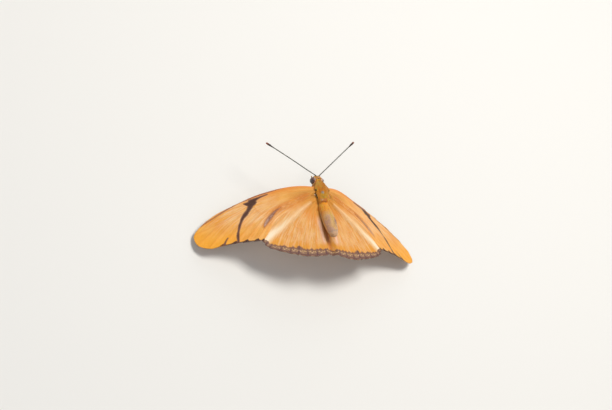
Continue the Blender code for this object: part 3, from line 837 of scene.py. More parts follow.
# %% Materials of the wings
def wing_finish(name, axis, colours):
    finish = Finish(name, roughness=0.5, specular_ior_level=0.3, sheen_weight=0.12, sheen_roughness=0.35,
                    sheen_tint=(1.0, 0.8, 0.6, 1))
    x, y = finish.place()[:2]
    x = abs(x)
    along = x * axis[0] + y * axis[1]
    across = y * axis[0] - x * axis[1]
    over = finish.attribute("over")
    out = finish.attribute("out")
    cloud = finish.noise(finish.vector(along, across * 1.6), 0.22, 3.0)
    ray = finish.noise(finish.vector(over * 46, out * 5.0), 1.0, 3.0)
    fine = finish.noise(finish.vector(over * 130, out * 26), 1.0, 2.0)
    ragged = finish.noise(finish.vector(along * 2.0, across * 5.0), 1.5, 2.0) - 0.5
    cell = finish.scales(along / SCALE_LONG, across / SCALE_WIDE)
    tone = finish.noise(finish.scales(along / SCALE_LONG, across / SCALE_WIDE, "Color"), 3.0)
    vein = finish.attribute("vein")
    above = colours(finish, x, y, ragged, cloud, ray, fine)
    below = finish.paint(
        UNDER_BUFF,
        (UNDER_BROWN, cloud.rises(0.42, 0.68) * 0.7),
        (UNDER_BROWN, vein.falls(0.05, 0.4) * 0.6),
        (UNDER_BROWN, finish.attribute("rim").near(1.5, 0.8) * 0.6),
    )
    colour = finish.mix(below, above, finish.attribute("upper"))
    finish.set("Base Color", tuned(finish, colour, 0.84 + 0.2 * tone + 0.1 * fine))
    finish.set("Roughness", 0.42 + 0.16 * ray + 0.1 * tone)
    finish.bump(cell * -1 + tone * 0.6 + ray * 3.0 + fine, 0.05)
    return finish.material


# %% [markdown]
# ## Four wings
#
# Each side gets its forewing and then its hindwing. What differs between the two is in the tables.

# %% Four wings
fore_finish = wing_finish("forewing_scales", FORE_AXIS, fore_colours)
hind_finish = wing_finish("hindwing_scales", HIND_AXIS, hind_colours)
WORDS = {1: "left", -1: "right"}
WINGS = {"fore": (fore_sides, forewing_height, FORE_VEINS), "hind": (hind_sides, hindwing_height, HIND_VEINS)}
STROKES = {"fore": {"mark": FORE_MARKS, "edge": FORE_EDGE, "streak": FORE_STREAK, "warm": FORE_WARM},
           "hind": {"gold": HIND_PALE_BAND_AND_SHEEN}}
WING_FINISHES = {"fore": fore_finish, "hind": hind_finish}
TUCKS = {"fore": 0.3, "hind": 0.0}
for side, word in WORDS.items():
    for kind, facts in WINGS.items():
        make_wing(f"wing_{kind}_{word}", side, *facts, STROKES[kind], WING_FINISHES[kind], f"{kind}wing_{word}",
                  TUCKS[kind])

# %% [markdown]
# ## The body's skin
#
# Under their coat, head, thorax and abdomen are one skin, so no seam shows between them. Its profile
# is a table of stations: at each the half width, the height of the back and that of the underside. A
# sphere whose poles lie at the front and the rear is stretched over it. Small swellings make the
# collar, the shoulder flaps, the shield behind the thorax and the overlapping rings of the abdomen.

# %% Stations of the body
# y, half width, back, underside
BODY = (
    (-5.42, 0.02, -1.3, -1.34), (-5.37, 0.5, -0.86, -1.82), (-5.22, 0.92, -0.4, -2.2),
    (-4.92, 1.22, -0.02, -2.46), (-4.55, 1.38, 0.2, -2.6), (-4.12, 1.44, 0.3, -2.68), (-3.7, 1.44, 0.34, -2.74),
    (-3.3, 1.42, 0.32, -2.78), (-3, 1.44, 0.34, -2.84), (-2.75, 1.52, 0.42, -2.94), (-2.45, 1.66, 0.6, -3.12),
    (-2.05, 1.82, 0.9, -3.36), (-1.45, 1.98, 1.2, -3.62), (-0.6, 2.08, 1.46, -3.86), (0.6, 2.14, 1.58, -4),
    (1.9, 2.12, 1.56, -3.98), (3, 2.02, 1.44, -3.8), (3.6, 1.94, 1.32, -3.6), (4.3, 1.78, 1.1, -3.2),
    (4.9, 1.62, 0.8, -2.75), (5.3, 1.56, 0.64, -2.5), (5.75, 1.58, 0.68, -2.42), (6.5, 1.66, 0.92, -2.44),
    (7.5, 1.76, 1.26, -2.38), (9, 1.84, 1.7, -2.2), (10.5, 1.88, 2.1, -2), (12, 1.88, 2.38, -1.74),
    (13.3, 1.82, 2.56, -1.42), (14.6, 1.68, 2.6, -1.02), (15.8, 1.42, 2.5, -0.56), (16.7, 1.06, 2.28, -0.06),
    (17.25, 0.66, 1.98, 0.44), (17.46, 0.02, 1.28, 1.24),
)
SEGMENTS = 8
ABDOMEN_FROM = 5.5
ABDOMEN_TO = 17.4
ROUNDNESS = 2.25

stations = curve(BODY, 0.05)
stations = stations[np.argsort(stations[:, 0])]
print(len(stations), "stations")

# %% [markdown]
# ## Relief
#
# A lump is a smooth swelling around a place. Added up, lumps give the body its parts, and two
# functions say where the skin is and which way it faces.

# %% Relief and surface
def lump(value, middle, half_width):
    return np.exp(-(((value - middle) / half_width) ** 2))


def relief(x, y, z):
    """How far the skin stands out over its plain profile."""
    wide = np.abs(x)
    upper = smooth((z + 0.6) / 0.8)
    collar = 0.13 * lump(y, -2.3, 0.26) * upper
    patch = 0.15 * lump(y, -1.75, 0.42) * lump(wide, 0.78, 0.42) * upper
    furrow = -0.09 * lump(wide, 0, 0.13) * smooth((y + 1.4) / 0.6) * smooth((3.1 - y) / 0.4) * upper
    shield = 0.16 * lump(y, 3.95, 0.48) * lump(wide, 0, 0.85) * upper - 0.08 * lump(y, 3.2, 0.2) * upper
    waist = -0.05 * lump(y, 4.85, 0.25) - 0.05 * lump(y, -2.95, 0.16)
    along = np.clip((y - ABDOMEN_FROM) / (ABDOMEN_TO - ABDOMEN_FROM), 0, 1) * SEGMENTS
    ring = -0.055 * lump(along - np.rint(along), 0, 0.13) * smooth((y - ABDOMEN_FROM) / 0.5)
    brow = 0.1 * lump(y, -4.6, 0.4) * lump(wide, 0.7, 0.3) * upper
    brow = brow - 0.1 * lump(wide, 0, 0.14) * lump(y, -4.1, 0.7) * upper
    side = 0.07 * lump(z, -2.0, 0.5) * lump(y, 1.0, 0.9) + 0.07 * lump(z, -2.2, 0.5) * lump(y, 3.0, 0.6)
    return collar + patch + furrow + shield + waist + ring + brow + side


def shoulder(y, z):
    """The flap over the forewing's root and the fold behind it, which stand out sideways."""
    return 0.95 * lump(y, 0.1, 1.25) * lump(z, 0.42, 0.4) + 0.7 * lump(y, 2.6, 1.1) * lump(z, 0.15, 0.4)


def skin_points(y, angle):
    width, back, under = (np.interp(y, stations[:, 0], stations[:, i]) for i in (1, 2, 3))
    c = np.cos(angle)
    s = np.sin(angle)
    x = np.sign(c) * np.abs(c) ** (2 / ROUNDNESS) * width
    z = np.sign(s) * np.abs(s) ** (2 / ROUNDNESS) * (back - under) / 2
    middle = (back + under) / 2
    out = relief(x, y, middle + z)
    size = np.maximum(0.05, np.hypot(x, z))
    side = np.clip(x / 0.8, -1, 1) * shoulder(y, middle + z)
    return np.column_stack([x * (1 + out / size) + side, y, middle + z * (1 + out / size)])


def skin_normals(y, angle):
    d = 0.02
    forward = skin_points(y + d, angle) - skin_points(y - d, angle)
    round_ = skin_points(y, angle + d) - skin_points(y, angle - d)
    return unit(np.cross(round_, forward))


# %% [markdown]
# ## Body colours
#
# Skin and coat share their markings. Each point of the skin keeps its own place as an attribute, and
# each hair keeps the place of its root, so the same masks colour both. The thorax is golden, with a
# dark line and white specks beside the wings, the shield is olive and cream, and the abdomen fades
# from gold to a speckled mauve grey with a pale tip.

# %% Paints and spots of the body
GOLD = (0.98, 0.38, 0.012, 1)
BRIGHT_GOLD = (0.94, 0.54, 0.05, 1)
RUST = (0.74, 0.2, 0.006, 1)
UMBER = (0.075, 0.026, 0.012, 1)
DARK_RED = (0.22, 0.04, 0.016, 1)
WHITE = (0.86, 0.82, 0.74, 1)
OLIVE = (0.7, 0.46, 0.04, 1)
KHAKI = (0.8, 0.47, 0.17, 1)
MAUVE = (0.66, 0.37, 0.25, 1)
GREY = (0.4, 0.36, 0.32, 1)
PURPLE = (0.2, 0.085, 0.085, 1)
SALMON = (0.88, 0.38, 0.15, 1)
YELLOW = (0.98, 0.6, 0.05, 1)
PALE_TIP = (0.8, 0.52, 0.3, 1)
UNDERSIDE = (0.68, 0.44, 0.2, 1)
# x, y, radius and colour of the spots seen on head, collar and thorax
BODY_SPOTS = (
    (0.05, -4.5, 0.3, CREAM), (0.4, -4.62, 0.26, CREAM), (1.15, -3.75, 0.32, DARK_RED),
    (0.28, -3.85, 0.32, DARK_RED), (-0.55, -3.8, 0.26, DARK_RED), (0.72, -3.95, 0.28, SALMON),
    (1.45, -3.6, 0.26, SALMON), (-0.15, -4.1, 0.26, SALMON), (0.62, -3.25, 0.36, YELLOW),
    (0.75, -2.7, 0.36, YELLOW), (0.95, -2.1, 0.4, YELLOW), (1.2, -1.4, 0.45, YELLOW), (-0.9, -3.4, 0.3, CREAM),
    (1.62, -2.7, 0.3, CREAM), (0.3, -2.45, 0.3, OLIVE), (-0.7, -2.4, 0.34, YELLOW), (0.78, 1.97, 0.5, GREY),
    (0.66, 2.1, 0.24, WHITE), (0.62, 3.55, 0.5, OLIVE), (0.1, 3.7, 0.4, YELLOW), (1.45, 4.1, 0.3, SALMON),
    (1, 4.35, 0.3, CREAM), (0.5, 4.45, 0.3, SALMON), (0, 4.4, 0.3, SALMON), (1.1, 4.8, 0.24, DARK_RED),
    (0.6, 4.9, 0.24, DARK_RED), (0.1, 4.9, 0.24, DARK_RED),
)
# The same on both sides, where the wings join: distance from the midline, y, radius and colour
JOINT_SPOTS = (
    (2.62, 0.85, 0.46, UMBER), (2.6, 1.65, 0.34, UMBER), (2.58, 2.5, 0.42, UMBER), (2.4, 3.25, 0.4, UMBER),
    (3.25, 0.8, 0.42, WHITE), (2.95, 2.05, 0.3, WHITE), (3, 3.65, 0.4, WHITE),
)

# %% [markdown]
# ## Spots
#
# A spot is a round mask around its place. A little noise in the distance makes its edge ragged.

# %% Spots over a colour
def spotted(finish, colour, spots, x, y, ragged):
    for at_x, at_y, radius, paint in spots:
        far = (x - at_x) * (x - at_x) + (y - at_y) * (y - at_y) + ragged * (0.9 * radius)
        colour = finish.mix(colour, paint, far.falls(0.25 * radius**2, radius**2) * 0.9)
    return colour


# %% [markdown]
# ## The body's materials
#
# Ground, spots and abdomen are painted in that order, once for the skin and once for its coat. Only
# the bump differs.

# %% Skin and coat
def body_finish(name, coat, **constants):
    finish = Finish(name, **constants)
    root = finish.node("ShaderNodeAttribute", {"attribute_name": "root"}, output="Vector")
    x, y, z = (finish.node("ShaderNodeSeparateXYZ", inputs=[root], output=i) for i in range(3))
    wide = abs(x)
    tone = finish.attribute("tone")
    cloud = finish.noise(finish.vector(x, y * 0.7, z), 0.8, 3.0)
    fleck = finish.noise(finish.vector(x, y, z), 2.6, 2.0)
    fine = finish.noise(finish.vector(x, y, z), 5.5, 2.0)
    streak = finish.noise(finish.vector(x * 3.0, y * 0.5, z * 1.5), 1.1, 2.0)

    head = y.falls(-3.5, -3.0)
    colour = finish.paint(
        GOLD,
        (BRIGHT_GOLD, cloud.rises(0.4, 0.66)),
        (RUST, streak.rises(0.5, 0.7) * 0.7),
        (OLIVE, streak.falls(0.3, 0.44) * 0.5),
        (UNDERSIDE, z.falls(-3.3, -1.9) * 0.8),
        (CREAM, head * fleck.rises(0.56, 0.66) * 0.7),
        (UMBER, head * z.falls(-2.2, -1.3) * cloud.rises(0.3, 0.6) * 0.5),
        (RUST, y.near(4.85, 0.4) * z.rises(-0.3, 0.2) * 0.8),
    )
    marked = spotted(finish, colour, BODY_SPOTS, x, y, fleck - 0.5)
    marked = spotted(finish, marked, JOINT_SPOTS, wide, y, fleck - 0.5)
    colour = finish.mix(colour, marked, z.rises(-1.3, -0.9))

    rear = y.rises(7.4, 10.4) * z.rises(-0.6, 0.5)
    beside = wide.rises(2.0, 2.4) * z.rises(-2.6, -1.9)
    belly = finish.mix(KHAKI, MAUVE, cloud.rises(0.38, 0.62))
    belly = finish.paint(
        belly,
        (BRIGHT_GOLD, y.falls(8.5, 12.0) * fleck.rises(0.35, 0.6) * 0.6),
        (CREAM, fine.rises(0.5, 0.7) * 0.45),
        (OLIVE, wide.falls(0.15, 0.5) * y.falls(13.5, 15.0) * 0.45),
        (PURPLE, fine.falls(0.32, 0.46) * 0.35),
        (PURPLE, x.falls(-0.9, -0.3) * y.near(12.4, 2.0) * fleck.rises(0.35, 0.5) * 0.85),
    )
    colour = finish.paint(
        colour,
        (belly, rear),
        (PALE_TIP, y.rises(15.2, 17.2) * cloud.rises(0.25, 0.5) * 0.9),
        (GREY, y.near(16.0, 0.8) * fleck.rises(0.5, 0.6) * 0.6),
        (UNDERSIDE, z.falls(-1.2, 0.3) * y.rises(7, 9) * 0.8),
        (marked, beside),
    )
    finish.set("Base Color", tuned(finish, colour, 0.88 + 0.22 * tone))
    finish.set("Roughness", 0.45 + 0.2 * fleck)
    if coat:
        finish.bump(finish.noise(finish.vector(x * 8, y * 2, z * 8), 6.0), 0.02)
    else:
        turn = finish.node("ShaderNodeMath", {"operation": "ARCTAN2"}, [z, x])
        cell = finish.scales(y / 0.16, turn / 0.1)
        finish.bump(cell * -1 + fleck * 2.0, 0.06)
    return finish.material


skin_finish = body_finish("body_skin", False, specular_ior_level=0.3)
fur_finish = body_finish("body_fur", True, specular_ior_level=0.35, sheen_weight=0.15, sheen_roughness=0.4)


def keep_places(piece, places):
    attribute = piece.data.attributes.new("root", "FLOAT_VECTOR", "POINT")
    attribute.data.foreach_set("vector", np.asarray(places, np.float32).ravel())


# %% [markdown]
# ## Stretching the skin
#
# A sphere already has its two poles closed. Its rings are spread along the body, closer together
# where the profile is finer, and each point goes to its station and angle.

# %% The skin from a sphere
SKIN_SEGMENTS = 96
SKIN_RINGS = 330

deselect()
bpy.ops.mesh.primitive_uv_sphere_add(segments=SKIN_SEGMENTS, ring_count=SKIN_RINGS, radius=1,
                                     rotation=(math.pi / 2, 0, 0))
bpy.ops.object.transform_apply(location=False, rotation=True, scale=False)
skin = named("body_skin")
ball = points_of(skin)
share = np.arccos(np.clip(-ball[:, 1], -1, 1)) / math.pi
front_y, rear_y = stations[0, 0], stations[-1, 0]
lie_y = front_y + (rear_y - front_y) * share
ball_angle = np.arctan2(ball[:, 2], ball[:, 0])
skin_shape = skin_points(lie_y, ball_angle)
skin_shape[share < 0.001, 0] = 0
move_points(skin, placed(skin_shape))
keep_places(skin, skin_shape)
keep(skin, "tone", np.full(len(skin_shape), 0.45))
finished(skin, skin_finish, "thorax", "head", "thorax", "abdomen")

# %% [markdown]
# ## Coats
#
# Hairs and scales are solid, so they print and travel with the model. One hair is modelled: a thin
# three-sided cone, cut once across so that it can bend and drawn out flat. Then it is set down some
# thousands of times, each with its own length, turn and bend, and joined to one mesh. Each hair's map
# for baking is a tiny patch at its root's place on an unwrap of the skin.

# %% One hair and one scale
HAIR_CUT = 0.45
SCALE_CUT = 0.62


def cut_across(piece, height):
    pick(piece, "FACE", lambda face: True)
    bpy.ops.mesh.bisect(plane_co=(0, 0, height), plane_no=(0, 0, 1))
    bpy.ops.object.mode_set(mode="OBJECT")
    return points_of(piece)


def model_of_hair():
    deselect()
    bpy.ops.mesh.primitive_cone_add(vertices=3, radius1=1, radius2=0, depth=1, location=(0, 0, 0.5))
    piece = named("hair")
    shape = cut_across(piece, HAIR_CUT)
    swell = np.interp(shape[:, 2], (0, HAIR_CUT, 1), (0.65, 1.0, 0.0))
    size = np.maximum(1e-6, np.hypot(shape[:, 0], shape[:, 1]))
    shape[:, :2] *= (swell / size)[:, None]
    return piece, shape


def model_of_scale():
    deselect()
    bpy.ops.mesh.primitive_cube_add(size=1, location=(0, 0, 0.5))
    piece = named("scale")
    shape = cut_across(piece, SCALE_CUT)
    shape[:, 0] *= 2 * np.interp(shape[:, 2], (0, SCALE_CUT, 1), (0.4, 1.0, 0.5))
    shape[:, 1] *= 2 * np.interp(shape[:, 2], (0, SCALE_CUT, 1), (1, 0.8, 0.4))
    return piece, shape


def template(made):
    piece, shape = made
    faces = [list(face.vertices) for face in piece.data.polygons]
    bpy.data.objects.remove(piece)
    return shape, faces


hair = template(model_of_hair())
scale = template(model_of_scale())
print("hair", len(hair[1]), "faces, scale", len(scale[1]), "faces")

# %% [markdown]
# ## Setting them down
#
# Each copy leans the way the coat lies and bends a little. Writing all points and faces at once
# joins thousands of copies to one mesh.

# %% Copies joined to one mesh
SEAT = 0.02
PATCH_MARGIN = 0.003
PATCH_WIDE = 0.0012
PATCH_LONG = 0.0028
WING_MAP = 45


def set_down(name, model, roots, normals, lies, sizes, lift, curl, bend, patches):
    """Joins one copy of the model for each root. sizes: length, half width and half thickness."""
    shape, faces = model
    count, points = len(roots), len(shape)
    s = shape[:, 2]
    lies = unit(lies - normals * np.sum(lies * normals, axis=1)[:, None])
    sideways = np.cross(lies, normals)
    length, width, thickness = (np.broadcast_to(size, count)[:, None, None] for size in sizes)
    lift, curl, bend = (np.broadcast_to(value, count)[:, None, None] for value in (lift, curl, bend))
    s3 = s[None, :, None]
    up = length * (lift * s3 * (1 - 0.4 * s3) - curl * s3**2) + thickness * shape[None, :, 1, None] - SEAT
    over = width * shape[None, :, 0, None] + length * bend * s3**2
    spots = roots[:, None] + lies[:, None] * length * s3 + sideways[:, None] * over + normals[:, None] * up
    mesh = bpy.data.meshes.new(name)
    order = np.concatenate([np.array(face) for face in faces])
    sizes_of = np.array([len(face) for face in faces])
    loops = (order[None] + np.arange(count)[:, None] * points).ravel()
    totals = np.tile(sizes_of, count)
    mesh.vertices.add(count * points)
    mesh.loops.add(len(loops))
    mesh.polygons.add(len(totals))
    mesh.vertices.foreach_set("co", placed(spots.reshape(-1, 3)).astype(np.float32).ravel())
    mesh.loops.foreach_set("vertex_index", loops.astype(np.int32))
    mesh.polygons.foreach_set("loop_start", np.concatenate([[0], np.cumsum(totals)[:-1]]).astype(np.int32))
    mesh.update(calc_edges=True)
    piece = bpy.data.objects.new(name, mesh)
    bpy.context.scene.collection.objects.link(piece)
    piece.name = name
    where = np.repeat(patches, points, axis=0) * 0.99 + PATCH_MARGIN
    shares = np.tile(np.column_stack([shape[:, 0] * PATCH_WIDE, s * PATCH_LONG]), (count, 1))
    mesh.uv_layers.new(name="OFBake").data.foreach_set("uv", (where + shares)[loops].astype(np.float32).ravel())
    keep_places(piece, np.repeat(roots, points, axis=0))
    keep(piece, "tone", np.repeat(randomly.random(count), points))
    return piece


def unwrapped(y, angle):
    """The place of a skin point on an unwrap of the skin."""
    u = (angle / (2 * math.pi)) % 1
    v = (y - front_y) / (rear_y - front_y)
    return np.column_stack([u, v])


def on_wing_map(x, y, share=1.0):
    """The place of a wing point on a square that holds the whole wing."""
    return np.column_stack([x, y + 4]) / WING_MAP * share


def scattered(y_from, y_to, gap, angles=(0, 2 * math.pi)):
    """Stations and angles spread evenly over the skin, about a gap apart."""
    ys, turns = [], []
    for y in np.arange(y_from, y_to, gap * 0.87):
        ring = skin_points(np.full(60, y), np.linspace(*angles, 60))
        gone = gone_along(ring)
        around = np.linalg.norm(np.diff(ring, axis=0), axis=1).sum()
        count = max(3, round(around / gap))
        start = randomly.random()
        turn = np.interp((np.arange(count) + start) / count * around, gone, np.linspace(*angles, 60))
        ys.append(np.full(count, y))
        turns.append(turn)
    y, turn = np.concatenate(ys), np.concatenate(turns)
    return y + randomly.normal(0, gap * 0.2, len(y)), turn + randomly.normal(0, gap * 0.1, len(y))


# %% [markdown]
# ## Fur of the thorax
#
# The thorax is the furriest part: fine hairs in small locks, combed towards the tail, each hair a
# little astray. Each lock is a handful of hairs from one spot.

# %% Thorax and head
BACKWARD = np.array((0.0, 1.0, 0.0))


def fur(name, y, turn, hairs, length, width, lift, slot, spread=0.22, curl=0.16, model=hair, flat=0.45):
    y = np.repeat(y, hairs)
    turn = np.repeat(turn, hairs)
    count = len(y)
    y = y + randomly.normal(0, 0.04, count)
    turn = turn + randomly.normal(0, 0.02, count)
    roots = skin_points(y, turn)
    normals = skin_normals(y, turn)
    lies = np.broadcast_to(BACKWARD, (count, 3)) + randomly.normal(0, spread, (count, 3))
    lock_length = np.repeat(randomly.uniform(0.8, 1.2, count // hairs), hairs)
    sizes = (length * lock_length * randomly.uniform(0.75, 1.15, count), width, width * flat)
    lifts = lift * np.repeat(randomly.uniform(0.5, 1.5, count // hairs), hairs)
    piece = set_down(name, model, roots, normals, lies, sizes, lifts, curl, randomly.normal(0, 0.1, count),
                     unwrapped(y, turn))
    return finished(piece, fur_finish, slot)


BELOW_LEVEL = 0.35
BACK = (-BELOW_LEVEL, math.pi + BELOW_LEVEL)
UNDER = (math.pi + BELOW_LEVEL, 2 * math.pi - BELOW_LEVEL)
fur("fur_collar", *scattered(-2.9, 0.2, 0.135, BACK), 5, 0.55, 0.015, 0.2, "thorax", spread=0.16)
fur("fur_thorax_back", *scattered(0.2, 5.0, 0.14, BACK), 5, 0.6, 0.015, 0.18, "thorax", spread=0.16)
fur("fur_thorax_under", *scattered(-2.9, 5.0, 0.2, UNDER), 6, 0.62, 0.022, 0.25, "thorax", spread=0.16)
fur("fur_head", *scattered(-5.4, -2.9, 0.125), 6, 0.3, 0.012, 0.4, "head")

# %% [markdown]
# ## Fur where the wings join
#
# Longer hairs run out over the roots of the wings and along the hindwings' inner edges. They hide
# the cut end of each sheet, as they do in life.

# %% Wing bases
def fur_on_wing(name, side, height, corner, size, count, length, lie, lift):
    """Hairs on a wing's upper face, thinning out from the corner over the size given."""
    spots = np.array(corner) + np.array(size) * randomly.beta(1, 1.6, (count, 2))
    x, y = spots.T
    step = 0.05
    slope_x = (height(x + step, y, side) - height(x - step, y, side)) / (2 * step)
    slope_y = (height(x, y + step, side) - height(x, y - step, side)) / (2 * step)
    roots = mirrored(np.column_stack([x, y, height(x, y, side)]), side)
    normals = unit(mirrored(np.column_stack([-slope_x, -slope_y, np.ones(count)]), side))
    lies = mirrored(np.array((*lie, 0.0)) + randomly.normal(0, 0.2, (count, 3)), side)
    sizes = (length * randomly.uniform(0.6, 1.2, count), 0.017, 0.008)
    patches = on_wing_map(x, y)
    piece = set_down(name, hair, roots, normals, lies, sizes, lift * randomly.uniform(0.3, 1.3, count), 0.1,
                     randomly.normal(0, 0.12, count), patches)
    return finished(piece, fur_finish, "wing")


WING_FUR = {
    # name: wing, corner, size, count, length, direction and lift
    "root": ("fore", (2.3, -0.8), (2.6, 3.3), 4500, 0.42, (0.8, 0.6), 0.16),
    "base": ("hind", (2.0, 2.4), (2.6, 5.0), 4500, 0.46, (0.3, 1.0), 0.12),
}
for side, word in WORDS.items():
    for place, (kind, *facts) in WING_FUR.items():
        fur_on_wing(f"fur_wing_{place}_{word}", side, WINGS[kind][1], *facts)

# %% [markdown]
# ## Scales of the abdomen
#
# The abdomen wears scales like the wings, in rows that overlap towards the tip, and some longer hairs
# at its sides and its end.

# %% Abdomen
for place, turns, gap, length, width in (("back", BACK, 0.11, 0.3, 0.064), ("under", UNDER, 0.13, 0.32, 0.074)):
    fur(f"fur_abdomen_{place}", *scattered(5.0, 17.44, gap, turns), 1, length, width, 0.03, "abdomen",
        spread=0.08, curl=0.03, model=scale, flat=0.14)
fur("fur_abdomen_long", *scattered(5.0, 17.2, 0.34), 4, 0.4, 0.012, 0.16, "abdomen", spread=0.2)
fur("fur_abdomen_tip", *scattered(16.9, 17.44, 0.1), 4, 0.42, 0.014, 0.1, "abdomen", spread=0.15)

# %% [markdown]
# ## Tubes
#
# Antennae, legs, feelers and tongue are all tubes that follow a path with a radius of their own at
# each point. A grid is rolled up along the path, its long edges are welded, and its two ends close to
# a point.

# %% A tube from a grid
def path_frames(path):
    tangents = unit(np.gradient(path, axis=0))
    first = np.cross(tangents[0], (0.31, 0.17, 0.93))
    sides = [first / np.linalg.norm(first)]
    for tangent in tangents[1:]:
        side = sides[-1] - tangent * (sides[-1] @ tangent)
        sides.append(side / np.linalg.norm(side))
    sides = np.array(sides)
    return tangents, sides, np.cross(tangents, sides)


def tube(name, path, radii, sides=14, flat=1.0):
    """radii must be 0 at both ends. The piece keeps how far along the path each point lies."""
    deselect()
    bpy.ops.mesh.primitive_grid_add(x_subdivisions=sides, y_subdivisions=len(path) - 1, size=2)
    piece = named(name)
    sheet = points_of(piece)
    row = np.rint((sheet[:, 1] + 1) / 2 * (len(path) - 1)).astype(int)
    turn = math.pi * sheet[:, 0]
    _, one, other = path_frames(path)
    reach = radii[row][:, None]
    shape = path[row] + reach * (np.cos(turn)[:, None] * one[row] + flat * np.sin(turn)[:, None] * other[row])
    keep(piece, "along", row / (len(path) - 1))
    keep_places(piece, shape)
    keep(piece, "tone", np.full(len(row), 0.5))
    move_points(piece, placed(shape))
    pick(piece, "VERT", lambda point: True)
    bpy.ops.mesh.remove_doubles(threshold=1e-7)
    bpy.ops.mesh.normals_make_consistent(inside=False)
    bpy.ops.object.mode_set(mode="OBJECT")
    return piece


def joined(name, *pieces):
    deselect()
    for piece in pieces:
        piece.select_set(True)
    bpy.context.view_layer.objects.active = pieces[0]
    bpy.ops.object.join()
    return named(name)


# %% [markdown]
# ## Eyes
#
# A butterfly's eye is packed with six-sided lenses. An icosphere has six faces around nearly every
# point, so when each corner is cut off at a third, hexagons are what is left. Each is inset and
# drawn out into a small dome.

# %% Compound eyes
EYE_CENTRE = (1.42, -3.85, -1.18)
EYE_RADII = (0.98, 1.06, 1.18)
LENS_CUT = 33.3
LENS_GAP = 0.012
LENS_STEP = 0.004
LENS_DOME = 0.014
EYE_DARK = (0.03, 0.012, 0.01, 1)
EYE_PINK = (0.3, 0.1, 0.075, 1)
EYE_RIM = (0.74, 0.48, 0.28, 1)

eye_finish = Finish("eye_lenses", roughness=0.16, specular_ior_level=0.7, coat_weight=0.6, coat_roughness=0.06)
x, y, z = eye_finish.place()
mottle = eye_finish.noise(eye_finish.vector(x, y, z), 2.2, 2.0)
band = eye_finish.noise(eye_finish.vector(x * 0.4, y * 1.2, z * 0.4), 1.6, 1.0)
eye_colour = eye_finish.mix(EYE_DARK, EYE_PINK, mottle.rises(0.4, 0.7) * 0.55 + x.falls(-1.6, -0.6) * 0.35)
eye_finish.set("Base Color", eye_finish.mix(eye_colour, EYE_RIM, abs(x).falls(1.46, 1.6) * 0.5))
eye_finish.set("Roughness", 0.12 + 0.12 * band)
eye_finish.bump(mottle, 0.01, 0.3)

for side, word in WORDS.items():
    deselect()
    bpy.ops.mesh.primitive_ico_sphere_add(subdivisions=4, radius=1)
    eye = named(f"eye_{word}_lenses")
    pick(eye, "VERT", lambda point: True)
    bpy.ops.mesh.bevel(offset_type="PERCENT", offset_pct=LENS_CUT, affect="VERTICES")
    bpy.ops.mesh.select_mode(type="FACE")
    bpy.ops.mesh.select_all(action="SELECT")
    bpy.ops.mesh.inset(thickness=LENS_GAP, depth=LENS_STEP, use_individual=True)
    bpy.ops.mesh.poke(offset=LENS_DOME)
    bpy.ops.object.mode_set(mode="OBJECT")
    lens = points_of(eye) * EYE_RADII
    lens[:, 0] = lens[:, 0] * side + EYE_CENTRE[0] * side
    move_points(eye, placed(lens + (0, EYE_CENTRE[1], EYE_CENTRE[2])))
    face_outward(eye)
    finished(eye, eye_finish.material, "eye", f"eye_{word}", smooth=False)

# %% [markdown]
# ## Antennae
#
# Each antenna springs from beside the other, on a thick first joint, and is a chain
# of some forty short rings that widen a little to their ends. The last dozen swell into the club.

# %% Ringed antennae
ANTENNA_TIPS = {1: (17.0, -15.7, -0.4), -1: (-15.6, -17.65, 2.75)}
ANTENNA_ROOT = (0.7, -4.96, -0.42)
FIRST_JOINT = (0.22, -0.5, 0.12)
RING_LONG = 0.5
SHAFT_RADIUS = 0.155
CLUB_SWELL = 0.17
CLUB_LONG = 3.2
ANTENNA_DARK = (0.05, 0.05, 0.04, 1)
ANTENNA_GREY = (0.14, 0.14, 0.11, 1)
CLUB_DARK = (0.03, 0.016, 0.012, 1)
CLUB_RED = (0.3, 0.085, 0.04, 1)

antenna_finish = Finish("antenna_scales", roughness=0.5, specular_ior_level=0.35)
along = antenna_finish.attribute("along")
grain = antenna_finish.grain(3.0, 3.0, 0.38, 0.25, 0.03)
antenna_finish.set("Base Color", antenna_finish.paint(
    ANTENNA_DARK,
    (ANTENNA_GREY, grain.rises(0.35, 0.7)),
    (CLUB_DARK, along.rises(0.82, 0.88)),
    (CLUB_RED, along.rises(0.93, 0.99)),
))

for side, word in WORDS.items():
    root = mirrored(ANTENNA_ROOT, side)
    tip = np.array(ANTENNA_TIPS[side])
    elbow = root + mirrored(FIRST_JOINT, side)
    middle = (elbow + tip) / 2 + (0, 0, 0.1)
    path = curve((root, elbow, elbow * 0.85 + tip * 0.15, middle, tip), 0.05)
    gone = gone_along(path)
    left = gone[-1] - gone
    joint = (gone / RING_LONG) % 1
    radii = SHAFT_RADIUS + 0.02 * joint**2 - 0.022 * lump(joint, 0, 0.12)
    radii += CLUB_SWELL * smooth((CLUB_LONG - left) / 2.2) * (1 - smooth((0.5 - left) / 0.9))
    radii += 0.12 * lump(gone, 0.22, 0.24) - 0.03 * lump(gone, 0.55, 0.1)
    radii *= np.sqrt(np.clip(left / 0.35, 0, 1)) * np.sqrt(np.clip(gone / 0.05, 0, 1))
    rings = tube(f"antenna_{word}_rings", path, radii, 12)
    finished(rings, antenna_finish.material, "antenna", f"antenna_{word}")

# %% [markdown]
# ## Feelers and tongue
#
# Two furry feelers point forward from the face, and between them the tongue is rolled up like a
# watch spring. The photograph shows neither clearly, so both follow the species.

# %% Palps and proboscis
PALP_RADIUS = 0.24
PALP = ((0.44, -4.95, -2.05), (0.56, -5.4, -2.45), (0.6, -5.9, -2.58), (0.58, -6.35, -2.46))
